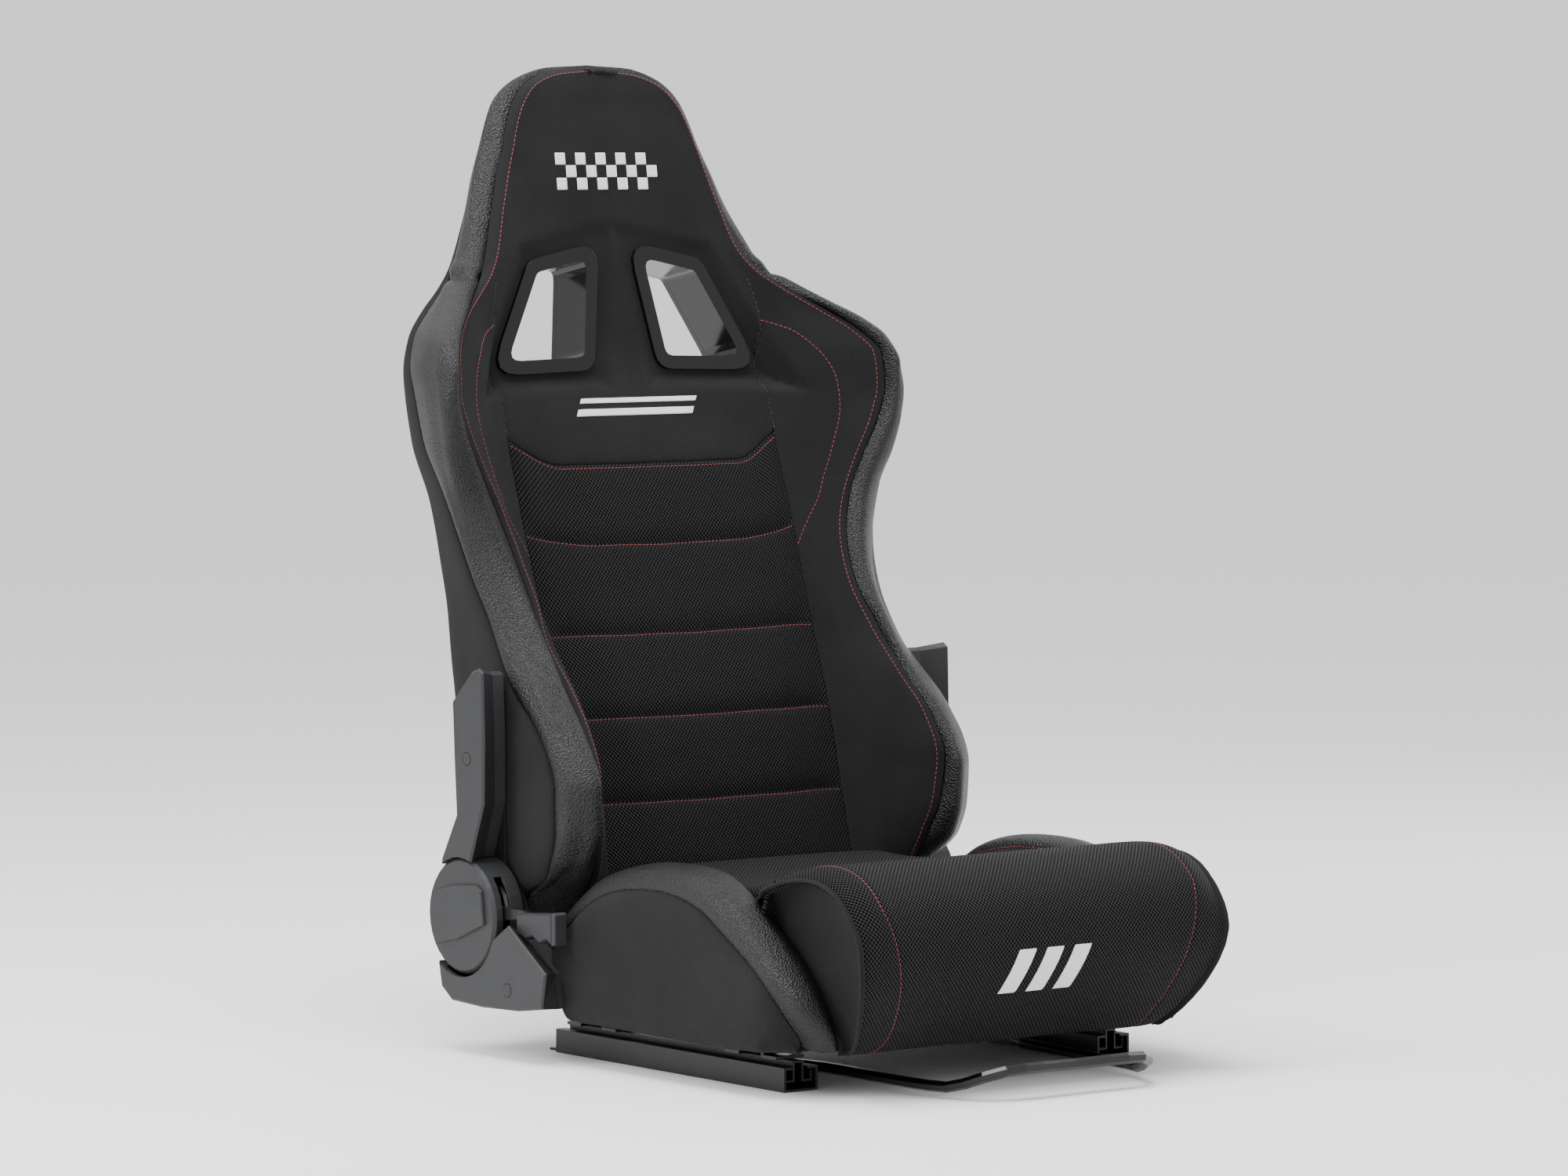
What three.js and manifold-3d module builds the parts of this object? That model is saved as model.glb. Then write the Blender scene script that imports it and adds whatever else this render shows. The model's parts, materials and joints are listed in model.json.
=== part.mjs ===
// Reclining racing seat on slide rails, with two harness openings under the headrest.
// Millimetres, +Z up. The seat faces -Y, and "right" and "left" are the sitter's own:
// right is -X, where the recline lever is. Every shape below is drawn in the seat's own
// layout, whose Y = 0 lies near the middle of the cushion; the exported group moves it
// so that the origin is under the middle of the whole seat, on the floor.
import * as THREE from 'three';
import { mergeVertices } from 'three/addons/utils/BufferGeometryUtils.js';
import Module from 'manifold-3d';

const wasm = await Module();
wasm.setup();

// ---- driving dimensions -------------------------------------------------------------
const LAYOUT_TO_ORIGIN_Y = 48;
const GAP = 0.3;                    // clearance between pieces that touch

const HINGE = { y: 135, z: 128 };   // recline axis, along X
const RAIL_X = 182;                 // middle of each slide rail
const RAIL_REAR_Y = 86;
const RAIL_LENGTH = 348;
const RAIL_WIDTH = 38;
const RAIL_HEIGHT = 22;
const SHEET = 2.2;                  // rail sheet thickness
const UPPER_RAIL_TOP = 27;
const BRACKET_HEIGHT = 17;
const FRONT_BRACKET_Y = -208;
const REAR_BRACKET_Y = 34;
const BOLT_OFFSET = 29.2;            // from the middle of a bracket to its bolt
const SIDE_PLATE_X = 204;           // cushion frame side plates, inner face
const SIDE_PLATE_THICKNESS = 3;
const FIXED_PLATE_X = 231.5;        // recliner plate on the base, inner face
const ARM_X = 236.3;                // steel arm of the backrest, inner face
const PLATE = 4;                    // recliner and arm plate thickness
const DRUM_OUTER_X = 274;           // outer face of the round recliner cover
const DRUM_RADIUS = 54;
const COVER_OUTER_X = 276;          // outer face of the flat plastic covers
const BAR_RADIUS = 5.3;             // release bar
const FRAME_TUBE_RADIUS = 9;
const PAD_THICKNESS = 46;

// Front surface of the backrest at its middle, from the bottom up to the headrest: [z, y].
const BACK_FRONT = [
  [112, 66], [150, 76], [226, 102], [304, 127], [381, 156], [472, 188], [538, 210],
  [600, 236], [626, 247], [680, 259], [748, 271], [812, 280], [860, 287], [900, 296], [918, 312],
];
// Rear surface of the backrest at its middle: [z, y].
const BACK_REAR = [
  [112, 150], [226, 200], [343, 240], [461, 262], [563, 277], [622, 290],
  [700, 308], [760, 324], [812, 334], [860, 338], [900, 334], [918, 322],
];

// ---- materials ----------------------------------------------------------------------
const finish = (color, roughness, metalness) => new THREE.MeshStandardMaterial({ color, roughness, metalness });
const mesh3d = finish(0x1a1a1c, 0.85, 0);
const wovenFabric = finish(0x141416, 0.9, 0);
const leather = finish(0x1d2024, 0.45, 0);
const satinPlastic = finish(0x2b2d2f, 0.5, 0);
const glossPlastic = finish(0x0b0c10, 0.12, 0);
const blackSteel = finish(0x101011, 0.38, 0.6);
const springSteel = finish(0x6f7276, 0.35, 0.9);
const zincSteel = finish(0x9a9c9f, 0.35, 0.9);
const nylon = finish(0xd8d6cd, 0.6, 0);

// ---- geometry helpers ---------------------------------------------------------------
const seat = new THREE.Group();

function add(name, geometry, material) {
  const part = new THREE.Mesh(geometry, material);
  part.name = name;
  seat.add(part);
  return part;
}

function mirrored(geometry) {
  const copy = new THREE.BufferGeometry();
  const position = geometry.getAttribute('position').clone();
  for (let i = 0; i < position.count; i += 1) position.setX(i, -position.getX(i));
  copy.setAttribute('position', position);
  const index = geometry.index ? [...geometry.index.array] : [...Array(position.count).keys()];
  for (let i = 0; i < index.length; i += 3) [index[i + 1], index[i + 2]] = [index[i + 2], index[i + 1]];
  copy.setIndex(index);
  copy.userData.shared = geometry.userData.shared;
  return copy;
}

// Adds a piece on the left (+X) as drawn, and its mirror image on the right (-X).
function addPair(name, geometry, material) {
  add(`${name}_left`, geometry, material);
  add(`${name}_right`, mirrored(geometry), material);
}

function solid(geometry) {
  const bare = geometry.clone();
  for (const attribute of Object.keys(bare.attributes)) {
    if (attribute !== 'position') bare.deleteAttribute(attribute);
  }
  const merged = geometry.userData.shared ? bare : mergeVertices(bare, 1e-4);
  return new wasm.Manifold(new wasm.Mesh({
    numProp: 3,
    vertProperties: new Float32Array(merged.getAttribute('position').array),
    triVerts: new Uint32Array(merged.index.array),
  }));
}

function geometryOf(manifold) {
  const result = manifold.getMesh();
  const geometry = new THREE.BufferGeometry();
  geometry.setAttribute('position', new THREE.BufferAttribute(new Float32Array(result.vertProperties), 3));
  geometry.setIndex([...result.triVerts]);
  geometry.userData.shared = true;    // its vertices are already merged
  return geometry;
}

const joined = (...geometries) => geometryOf(geometries.map(solid).reduce((a, b) => a.add(b)));
const cut = (body, ...tools) => geometryOf(tools.map(solid).reduce((a, b) => a.subtract(b), solid(body)));

const shapeOf = (points) => new THREE.Shape(points.map(([x, y]) => new THREE.Vector2(x, y)));

const extrude = (shape, depth) => new THREE.ExtrudeGeometry(shape, { depth, bevelEnabled: false, curveSegments: 4 });

// The points of a smooth line through a few, a number of steps apart.
const smooth = (points, steps) => new THREE.SplineCurve(points.map((p) => new THREE.Vector2(...p)))
  .getPoints(steps).map((p) => [p.x, p.y]);

// A closed outline moved inwards: each corner goes along the mean of its two sides' normals.
function inset(outline, distance) {
  const n = outline.length;
  const turn = THREE.ShapeUtils.isClockWise(outline.map(([x, y]) => new THREE.Vector2(x, y))) ? -1 : 1;
  return outline.map(([x, y], i) => {
    const before = outline[(i + n - 1) % n];
    const after = outline[(i + 1) % n];
    const a = new THREE.Vector2(before[1] - y, x - before[0]).normalize();
    const b = new THREE.Vector2(y - after[1], after[0] - x).normalize();
    const move = a.add(b).normalize().multiplyScalar(turn * distance);
    return [x + move.x, y + move.y];
  });
}

// An outline drawn in (Y, Z), made solid along +X from x0, with its edges rounded by a radius.
function alongX(outline, x0, depth, radius = 0, steps = 2) {
  if (radius === 0) {
    const turn = new THREE.Matrix4().makeBasis(
      new THREE.Vector3(0, 1, 0), new THREE.Vector3(0, 0, 1), new THREE.Vector3(1, 0, 0));
    const shape = Array.isArray(outline) ? shapeOf(outline) : outline;
    return extrude(shape, depth).applyMatrix4(turn).translate(x0, 0, 0);
  }
  const points = THREE.ShapeUtils.isClockWise(outline.map((p) => new THREE.Vector2(...p))) ? [...outline].reverse() : outline;
  const ring = (x, distance) => inset(points, distance).map(([y, z]) => [x, y, z]);
  const start = [];
  const end = [];
  for (let i = 0; i <= steps; i += 1) {
    const angle = (Math.PI / 2) * (i / steps);
    start.push(ring(x0 + radius * (1 - Math.sin(angle)), radius * (1 - Math.cos(angle))));
    end.push(ring(x0 + depth - radius * (1 - Math.sin(angle)), radius * (1 - Math.cos(angle))));
  }
  return loft([...start.reverse(), ...end], ([, y, z]) => [y, z]);
}

// An outline drawn in (X, Z), extruded towards -Y from y0.
function alongY(outline, y0, depth) {
  const turn = new THREE.Matrix4().makeBasis(
    new THREE.Vector3(1, 0, 0), new THREE.Vector3(0, 0, 1), new THREE.Vector3(0, -1, 0));
  return extrude(shapeOf(outline), depth).applyMatrix4(turn).translate(0, y0, 0);
}

function rodX(radius, x0, x1, y, z, sides = 16) {
  return new THREE.CylinderGeometry(radius, radius, x1 - x0, sides)
    .rotateZ(Math.PI / 2).translate((x0 + x1) / 2, y, z);
}

function rodZ(radius, z0, z1, x, y, sides = 12) {
  return new THREE.CylinderGeometry(radius, radius, z1 - z0, sides)
    .rotateX(Math.PI / 2).translate(x, y, (z0 + z1) / 2);
}

function box(x0, x1, y0, y1, z0, z1) {
  return new THREE.BoxGeometry(x1 - x0, y1 - y0, z1 - z0)
    .translate((x0 + x1) / 2, (y0 + y1) / 2, (z0 + z1) / 2);
}

function circle(radius, y, z) {
  const shape = new THREE.Shape();
  shape.absarc(y, z, radius, 0, 2 * Math.PI, false);
  return shape;
}

function tube(points, radius, steps, sides = 8) {
  const path = new THREE.CatmullRomCurve3(points.map((p) => new THREE.Vector3(...p)), false, 'centripetal');
  return tubeAlong(path, radius, steps, sides);
}

function tubeAlong(path, radius, steps, sides) {
  const section = new THREE.Shape();
  for (let i = 0; i < sides; i += 1) {
    const angle = (2 * Math.PI * i) / sides;
    const [u, v] = [radius * Math.cos(angle), radius * Math.sin(angle)];
    if (i === 0) section.moveTo(u, v);
    else section.lineTo(u, v);
  }
  section.closePath();
  return new THREE.ExtrudeGeometry(section, { steps, extrudePath: path, bevelEnabled: false });
}

// A closed solid through rings of equally many points, each a list of [x, y, z]. The
// end rings are filled in as seen flat.
function loft(rings, flat = ([x, y]) => [x, y]) {
  const across = rings[0].length;
  const positions = rings.flat(2);
  const index = [];
  for (let i = 0; i + 1 < rings.length; i += 1) {
    for (let j = 0; j < across; j += 1) {
      const a = i * across + j;
      const b = i * across + ((j + 1) % across);
      index.push(a, b, b + across, a, b + across, a + across);
    }
  }
  [0, rings.length - 1].forEach((ring, end) => {
    const contour = rings[ring].map((p) => new THREE.Vector2(...flat(p)));
    for (const [a, b, c] of THREE.ShapeUtils.triangulateShape(contour, [])) {
      const corner = ring * across;
      if (end === 0) index.push(corner + a, corner + c, corner + b);
      else index.push(corner + a, corner + b, corner + c);
    }
  });
  const geometry = new THREE.BufferGeometry();
  geometry.setAttribute('position', new THREE.Float32BufferAttribute(positions, 3));
  geometry.setIndex(index);
  geometry.userData.shared = true;
  return geometry;
}

// The smooth line through [z, y] points, read at one height.
function lineThrough(points) {
  const curve = new THREE.SplineCurve(points.map(([z, y]) => new THREE.Vector2(z, y)));
  const samples = curve.getPoints(points.length * 12);
  return (z) => {
    const i = Math.max(1, samples.findIndex((p) => p.x >= z));
    const [a, b] = z > samples.at(-1).x ? samples.slice(-2) : [samples[i - 1], samples[i]];
    const t = THREE.MathUtils.clamp((z - a.x) / (b.x - a.x), 0, 1);
    return a.y + t * (b.y - a.y);
  };
}
const frontAt = lineThrough(BACK_FRONT);
const rearAt = lineThrough(BACK_REAR);

// ---- rails: fixed lower channels, sliding upper rails, roller cages --------------------
function lowerRail() {
  const half = RAIL_WIDTH / 2;
  const slot = 8;
  const inner = half - SHEET;
  const under = RAIL_HEIGHT - SHEET;
  const channel = alongY([
    [-half, 0], [half, 0], [half, RAIL_HEIGHT], [slot, RAIL_HEIGHT], [slot, under], [inner, under],
    [inner, SHEET], [-inner, SHEET], [-inner, under], [-slot, under], [-slot, RAIL_HEIGHT], [-half, RAIL_HEIGHT],
  ], RAIL_REAR_Y, RAIL_LENGTH);
  const tab = box(-13, 13, RAIL_REAR_Y - 6, RAIL_REAR_Y + 18, 0, SHEET);
  const tabHole = rodZ(4.2, -1, 4, 0, RAIL_REAR_Y + 9);
  const floorHole = rodZ(4.2, -1, 4, 0, RAIL_REAR_Y - RAIL_LENGTH + 20);
  return cut(joined(channel, tab), tabHole, floorHole).translate(RAIL_X, 0, 0);
}
addPair('lower_rail', lowerRail(), blackSteel);

const UPPER_REAR_Y = RAIL_REAR_Y - 4;
const UPPER_LENGTH = RAIL_LENGTH - 8;
const boltHole = (y, x = RAIL_X) => rodZ(4.4, UPPER_RAIL_TOP - 4, UPPER_RAIL_TOP + 6, x, y);

function upperRail() {
  const profile = alongY([
    [-15.5, 18], [-15.5, 8], [-4, 8], [-4, 25], [4, 25], [4, 8], [15.5, 8], [15.5, 18],
    [13.5, 18], [13.5, 10], [6, 10], [6, UPPER_RAIL_TOP], [-6, UPPER_RAIL_TOP], [-6, 10], [-13.5, 10], [-13.5, 18],
  ], UPPER_REAR_Y, UPPER_LENGTH).translate(RAIL_X, 0, 0);
  return cut(profile, boltHole(FRONT_BRACKET_Y - BOLT_OFFSET), boltHole(REAR_BRACKET_Y + BOLT_OFFSET));
}
addPair('upper_rail', upperRail(), blackSteel);

function rollerCage() {
  const [low, high, middle] = [4.4, 5.8, 5.1];
  const strip = box(RAIL_X - 12, RAIL_X + 12, -220, 40, low, high);
  const rollers = [-210, 30].map((y) => rodX(2.6, RAIL_X - 13, RAIL_X + 13, y, middle, 12));
  return joined(strip, ...rollers);
}
addPair('roller_cage', rollerCage(), nylon);

// ---- brackets and bolts between the upper rails and the cushion frame -------------------
function hatBracket(middleY) {
  const base = UPPER_RAIL_TOP + GAP;
  const outline = [
    [-38, 0], [-17, 0], [-13, BRACKET_HEIGHT - 3], [13, BRACKET_HEIGHT - 3], [17, 0], [38, 0],
    [38, 3], [20, 3], [15, BRACKET_HEIGHT], [-15, BRACKET_HEIGHT], [-20, 3], [-38, 3],
  ].map(([y, z]) => [y + middleY, z + base]);
  const plate = alongX(outline, RAIL_X - 16, 32);
  const boltY = middleY < 0 ? middleY - BOLT_OFFSET : middleY + BOLT_OFFSET;
  return cut(plate, boltHole(boltY));
}
addPair('front_bracket', hatBracket(FRONT_BRACKET_Y), blackSteel);
addPair('rear_bracket', hatBracket(REAR_BRACKET_Y), blackSteel);

function flangeBolt(y) {
  const seatZ = UPPER_RAIL_TOP + 3 + 2 * GAP;
  const flange = rodZ(8.5, seatZ, seatZ + 2, RAIL_X, y, 14);
  const hexagon = rodZ(6.6, seatZ + 1, seatZ + 7, RAIL_X, y, 6);
  const shank = rodZ(3.9, UPPER_RAIL_TOP - 7, seatZ + 1, RAIL_X, y, 12);
  const nut = rodZ(3.7, UPPER_RAIL_TOP - 9, UPPER_RAIL_TOP - 7, RAIL_X, y, 12);
  return joined(flange, hexagon, shank, nut);
}
addPair('front_bolt', flangeBolt(FRONT_BRACKET_Y - BOLT_OFFSET), zincSteel);
addPair('rear_bolt', flangeBolt(REAR_BRACKET_Y + BOLT_OFFSET), zincSteel);

// ---- cushion frame ------------------------------------------------------------------
const FRAME_BOTTOM = UPPER_RAIL_TOP + BRACKET_HEIGHT + 3 * GAP;   // top of the brackets

// A rail carrier: a flat bar over both brackets of one side, with the side plate standing on it.
function sidePlate() {
  const upright = alongX([
    [-296, FRAME_BOTTOM], [100, FRAME_BOTTOM], [150, 70], [150, 96], [60, 96], [-296, 84],
  ], SIDE_PLATE_X, SIDE_PLATE_THICKNESS);
  const carrier = box(RAIL_X - 18, SIDE_PLATE_X + 1, -292, 72, FRAME_BOTTOM, FRAME_BOTTOM + 3);
  return joined(upright, carrier);
}
const FRONT_TUBE = { y: -276, z: 62 };
const REAR_TUBE = { y: 58, z: 74 };
const tubeClearance = (place) => rodX(FRAME_TUBE_RADIUS + 2 * GAP, -260, 260, place.y, place.z, 16);
addPair('cushion_side_plate', cut(sidePlate(), tubeClearance(FRONT_TUBE), tubeClearance(REAR_TUBE)), blackSteel);

function crossTube(place, halfLength) {
  const wall = 2;
  return cut(
    rodX(FRAME_TUBE_RADIUS, -halfLength, halfLength, place.y, place.z, 16),
    rodX(FRAME_TUBE_RADIUS - wall, -halfLength - 1, halfLength + 1, place.y, place.z, 12));
}
add('front_cross_tube', crossTube(FRONT_TUBE, 214), blackSteel);
add('rear_cross_tube', crossTube(REAR_TUBE, 214), blackSteel);

// Serpentine wire springs from the rear tube to the front tube, under the cushion.
function serpentine(x) {
  const points = [];
  const bends = 7;
  const [rear, front] = [REAR_TUBE.y + 4, FRONT_TUBE.y - 4];
  for (let i = 0; i <= 2 * bends; i += 1) {
    const t = i / (2 * bends);
    const swing = i === 0 || i === 2 * bends ? 0 : 17 * (i % 2 ? 1 : -1);
    const z = THREE.MathUtils.lerp(REAR_TUBE.z, FRONT_TUBE.z, t) + FRAME_TUBE_RADIUS + 2.3;
    points.push([x + swing, THREE.MathUtils.lerp(rear, front, t), z]);
  }
  return tube(points, 1.8, 42, 4);
}
[-90, 0, 90].forEach((x, i) => add(`cushion_spring_${i + 1}`, serpentine(x), springSteel));

// ---- cushion: middle pad with the front roll, and a bolster for each thigh ---------------
const CUSHION_TO_HINGE = 80;        // radius of the cushion's hollow rear face about the hinge
const CUSHION_TOP = smooth([[44, 170], [-60, 166], [-170, 172], [-236, 188]], 8);
const ROLL_FRONT = smooth([
  [-250, 192], [-300, 205], [-340, 202], [-372, 181], [-387, 148], [-386, 112], [-370, 80], [-348, 52], [-326, 37],
], 20);
const CUSHION_REAR = [0.32, 0.05, -0.22, -0.45, -0.58].map((angle) => [
  HINGE.y + CUSHION_TO_HINGE * Math.cos(Math.PI + angle),
  HINGE.z + CUSHION_TO_HINGE * Math.sin(Math.PI + angle),
]);

const THIGH_X = 191;
const THIGH_WIDTH = 59;
const THIGH_OUTLINE = [
  [-12, 48], [10, 90],
  ...smooth([
    [26, 120], [8, 152], [-30, 180], [-80, 192], [-140, 195], [-190, 187], [-236, 160],
    [-280, 126], [-312, 92], [-340, 58],
  ], 22),
  [-332, 46],
];
const LOWER_COVER_OUTLINE = [
  [170, 84], [165, 59], [149, 48], [101, 46], [43, 48], [4, 54], [-2, 86], [58, 126], [80, 112],
];
const coverRoom = alongX(inset(LOWER_COVER_OUTLINE, -3), FIXED_PLATE_X - 1, 60);
const frameHollow = box(SIDE_PLATE_X - 44, SIDE_PLATE_X + SIDE_PLATE_THICKNESS + 12, -304, 160, 20, 98);
const thighShape = cut(alongX(THIGH_OUTLINE, THIGH_X, THIGH_WIDTH, 10, 2), frameHollow, coverRoom);
addPair('thigh_bolster', thighShape, leather);

function cushionPad() {
  const half = 188;
  const middle = alongX([[-300, 94], ...CUSHION_REAR, ...CUSHION_TOP, ...ROLL_FRONT, [-304, 40]], -half, 2 * half, 6, 2);
  const rollHalf = 228;
  const roll = alongX([[-304, 94], [-226, 100], [-226, 182], ...ROLL_FRONT, [-304, 40]], -rollHalf, 2 * rollHalf, 22, 4);
  const thighEnvelope = alongX(inset(THIGH_OUTLINE, -1.2), THIGH_X - 1.2, THIGH_WIDTH + 30);
  const cornerRoom = box(146, 240, -22, 160, 20, 260);   // the back bolsters come down here
  return cut(joined(middle, roll), thighEnvelope, mirrored(thighEnvelope), cornerRoom, mirrored(cornerRoom));
}
add('cushion_pad', cushionPad(), mesh3d);

// ---- recliner: plates, covers, lever, shaft and springs ----------------------------------
const SHAFT_RADIUS = 6;
function fixedPlate() {
  const disc = alongX(circle(DRUM_RADIUS - 2, HINGE.y, HINGE.z), FIXED_PLATE_X, PLATE);
  const foot = alongX([
    [20, 50], [120, 50], [176, 76], [160, 112], [60, 112], [20, 90],
  ], FIXED_PLATE_X, PLATE);
  const bore = rodX(SHAFT_RADIUS + 0.6, FIXED_PLATE_X - 1, FIXED_PLATE_X + PLATE + 1, HINGE.y, HINGE.z);
  const strut = box(SIDE_PLATE_X + SIDE_PLATE_THICKNESS + GAP, FIXED_PLATE_X + 1, 84, 112, 56, 72);
  return cut(joined(disc, foot, strut), bore);
}
addPair('recliner_base_plate', fixedPlate(), blackSteel);

function steelArm() {
  const disc = alongX(circle(DRUM_RADIUS - 3, HINGE.y, HINGE.z), ARM_X, PLATE);
  const blade = alongX([
    [112, 150], [160, 150], [166, 200], [160, 300], [150, 340], [118, 340], [112, 240],
  ], ARM_X, PLATE);
  const bore = rodX(SHAFT_RADIUS + 0.6, ARM_X - 1, ARM_X + PLATE + 1, HINGE.y, HINGE.z);
  return cut(joined(disc, blade), bore);
}
addPair('backrest_arm', steelArm(), blackSteel);

// Round cover: a cup around the recliner, open towards the seat, with a raised plaque.
function drumCover() {
  const [inner, wall] = [ARM_X + PLATE + GAP, 2.6];
  const chamfer = 3;
  const drum = rodX(DRUM_RADIUS, inner, DRUM_OUTER_X - chamfer, HINGE.y, HINGE.z, 32);
  const face = new THREE.CylinderGeometry(DRUM_RADIUS, DRUM_RADIUS - chamfer, chamfer, 32)
    .rotateZ(Math.PI / 2).translate(DRUM_OUTER_X - chamfer / 2, HINGE.y, HINGE.z);
  const room = rodX(DRUM_RADIUS - wall, inner - 1, DRUM_OUTER_X - wall, HINGE.y, HINGE.z, 32);
  const plaque = alongX([
    [-38, -28], [-3, -22], [40, -5], [36, 26], [26, 31], [-12, 28], [-35, 22],
  ].map(([y, z]) => [HINGE.y - y, HINGE.z + z]), DRUM_OUTER_X - 1, 4, 1.2, 1);
  return cut(joined(drum, face, plaque), room);
}
add('recliner_cover_left', drumCover(), satinPlastic);
const leverWindow = box(-264, -255, HINGE.y - DRUM_RADIUS - 6, HINGE.y - 34, 119, 166);
add('recliner_cover_right', cut(mirrored(drumCover()), leverWindow), satinPlastic);

// A flat cover beside a recliner plate: its outline far from the seat, and a smaller one near it.
function flatCover(near, far, x0) {
  const clockwise = THREE.ShapeUtils.isClockWise(far.map(([y, z]) => new THREE.Vector2(y, z)));
  const ring = (outline, x) => {
    const points = outline.map(([y, z]) => [x, y, z]);
    return clockwise ? points.reverse() : points;
  };
  return loft([
    ring(near, x0),
    ring(near, COVER_OUTER_X - COVER_BEVEL),
    ring(far, COVER_OUTER_X - 2),
    ring(inset(far, 2), COVER_OUTER_X),
  ], ([, y, z]) => [y, z]);
}

// Long cover over the steel arm down to the round cover, bevelled towards the front, hollow behind.
const COVER_BEVEL = 23;
function armCover() {
  const far = [
    [120, 170], [166, 160], [164, 180], [140, 222], [143.6, 274], [146, 327],
    [115, 356], [103, 360], [97, 356], [95, 292], [96, 234], [116, 183],
  ];
  const near = [
    [131, 170], [166, 160], [164, 180], [140, 222], [143.6, 274], [146, 327],
    [126, 349], [119, 355], [113, 352], [110, 292], [110, 234], [128, 183],
  ];
  const inside = [
    [134, 174], [158, 172], [133, 222], [136.6, 274], [139, 322], [124, 341], [118, 342], [114.5, 292], [114.5, 236],
    [132, 190],
  ];
  const x0 = ARM_X + PLATE + GAP;
  const shell = flatCover(near, far, x0);
  const hollow = alongX(inside, x0 - 1, COVER_OUTER_X - x0 - 4);
  const drumRoom = rodX(DRUM_RADIUS + 0.6, x0 - 2, COVER_OUTER_X + 2, HINGE.y, HINGE.z, 32);
  return cut(shell, hollow, drumRoom);
}
const screwSeat = (y, z) => rodX(6.5, COVER_OUTER_X - 1.2, COVER_OUTER_X + 2, y, z, 12);
const screwCap = (y, z) => rodX(6, COVER_OUTER_X - 1.2 + GAP, COVER_OUTER_X + 0.2, y, z, 12);
const ARM_SCREW = [122, 275];
const LOWER_SCREW = [58, 66];
addPair('arm_cover', cut(armCover(), screwSeat(...ARM_SCREW)), satinPlastic);
addPair('arm_cover_cap', screwCap(...ARM_SCREW), satinPlastic);

// Lower cover on the cushion frame, cut round to clear the recliner cover.
function lowerCover() {
  const near = [
    [170, 84], [165, 59], [149, 48], [101, 46], [43, 48], [8, 52], [14, 84], [66, 116], [80, 108],
  ];
  const inside = [
    [164, 78], [161, 62], [147, 53], [20, 53], [22, 80], [66, 108], [76, 100],
  ];
  const x0 = FIXED_PLATE_X + PLATE + GAP;
  const shell = flatCover(near, LOWER_COVER_OUTLINE, x0);
  const hollow = alongX(inside, x0 - 1, COVER_OUTER_X - x0 - 4);
  const drumRoom = rodX(DRUM_RADIUS + 3, x0 - 2, COVER_OUTER_X + 2, HINGE.y, HINGE.z, 32);
  return cut(shell, hollow, drumRoom);
}
addPair('lower_cover', cut(lowerCover(), screwSeat(...LOWER_SCREW)), satinPlastic);
addPair('lower_cover_cap', screwCap(...LOWER_SCREW), satinPlastic);

// Shaft through both recliners, turned by the lever.
add('recliner_shaft', rodX(SHAFT_RADIUS, -262, 262, HINGE.y, HINGE.z, 20), zincSteel);

// Flat spiral springs that push the backrest forward.
function spiralSpring() {
  const points = [];
  const turns = 2.5;
  for (let i = 0; i <= 30; i += 1) {
    const t = i / 30;
    const radius = THREE.MathUtils.lerp(11, 40, t);
    const angle = t * turns * 2 * Math.PI;
    points.push([248, HINGE.y + radius * Math.cos(angle), HINGE.z + radius * Math.sin(angle)]);
  }
  return tube(points, 2.2, 40, 4);
}
addPair('recliner_spring', spiralSpring(), springSteel);

// Lever on the right only: hub on the shaft, an arm that runs forward, and a grip on its end.
const LEVER_X = -262;
function leverArm() {
  const blade = alongX([[26, 118], [44, 118], [54, 131], [HINGE.y, 122], [HINGE.y, 140], [54, 139], [26, 134]], LEVER_X, 5);
  const hub = rodX(15, LEVER_X, LEVER_X + 5, HINGE.y, HINGE.z, 24);
  return cut(joined(blade, hub), rodX(SHAFT_RADIUS + GAP, LEVER_X - 1, LEVER_X + 6, HINGE.y, HINGE.z));
}
add('recline_lever_arm', leverArm(), blackSteel);

const GRIP_X = LEVER_X - 5.5;
const GRIP_WIDTH = 13;
function leverGrip() {
  const outline = [
    [56, 119], [42, 113.5], [31, 117], [20, 111.5], [9, 116], [0, 111.5], [0, 141], [42, 138], [56, 136],
  ];
  const body = alongX(outline, GRIP_X, GRIP_WIDTH, 2, 1);
  const pocket = box(LEVER_X - GAP, LEVER_X + 5 + GAP, 25.5, 60, 117, 142);
  return cut(body, pocket);
}
add('recline_lever_grip', leverGrip(), satinPlastic);
const tipOutline = [[-6, 113], [-0.3, 111], [-0.3, 142], [-4, 142], [-6, 140]];
add('recline_lever_tip', alongX(tipOutline, GRIP_X - 0.5, GRIP_WIDTH + 1, 1, 1), satinPlastic);

// ---- backrest frame -----------------------------------------------------------------
const HOOP = [
  [226, 158, 176], [215, 168, 210], [204, 190, 270], [194, 216, 350], [186, 232, 430], [186, 246, 520],
  [188, 262, 600], [180, 272, 650], [160, 286, 700], [140, 298, 742], [118, 307, 790], [92, 312, 840], [62, 314, 870],
];
const hoopPoints = [...HOOP, [0, 314, 882], ...[...HOOP].reverse().map(([x, y, z]) => [-x, y, z])];
add('backrest_hoop', tube(hoopPoints, FRAME_TUBE_RADIUS, 36), blackSteel);

const LOWER_BACK_TUBE = { y: 150, z: 196 };
add('backrest_cross_tube', crossTube(LOWER_BACK_TUBE, 198), blackSteel);

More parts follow.
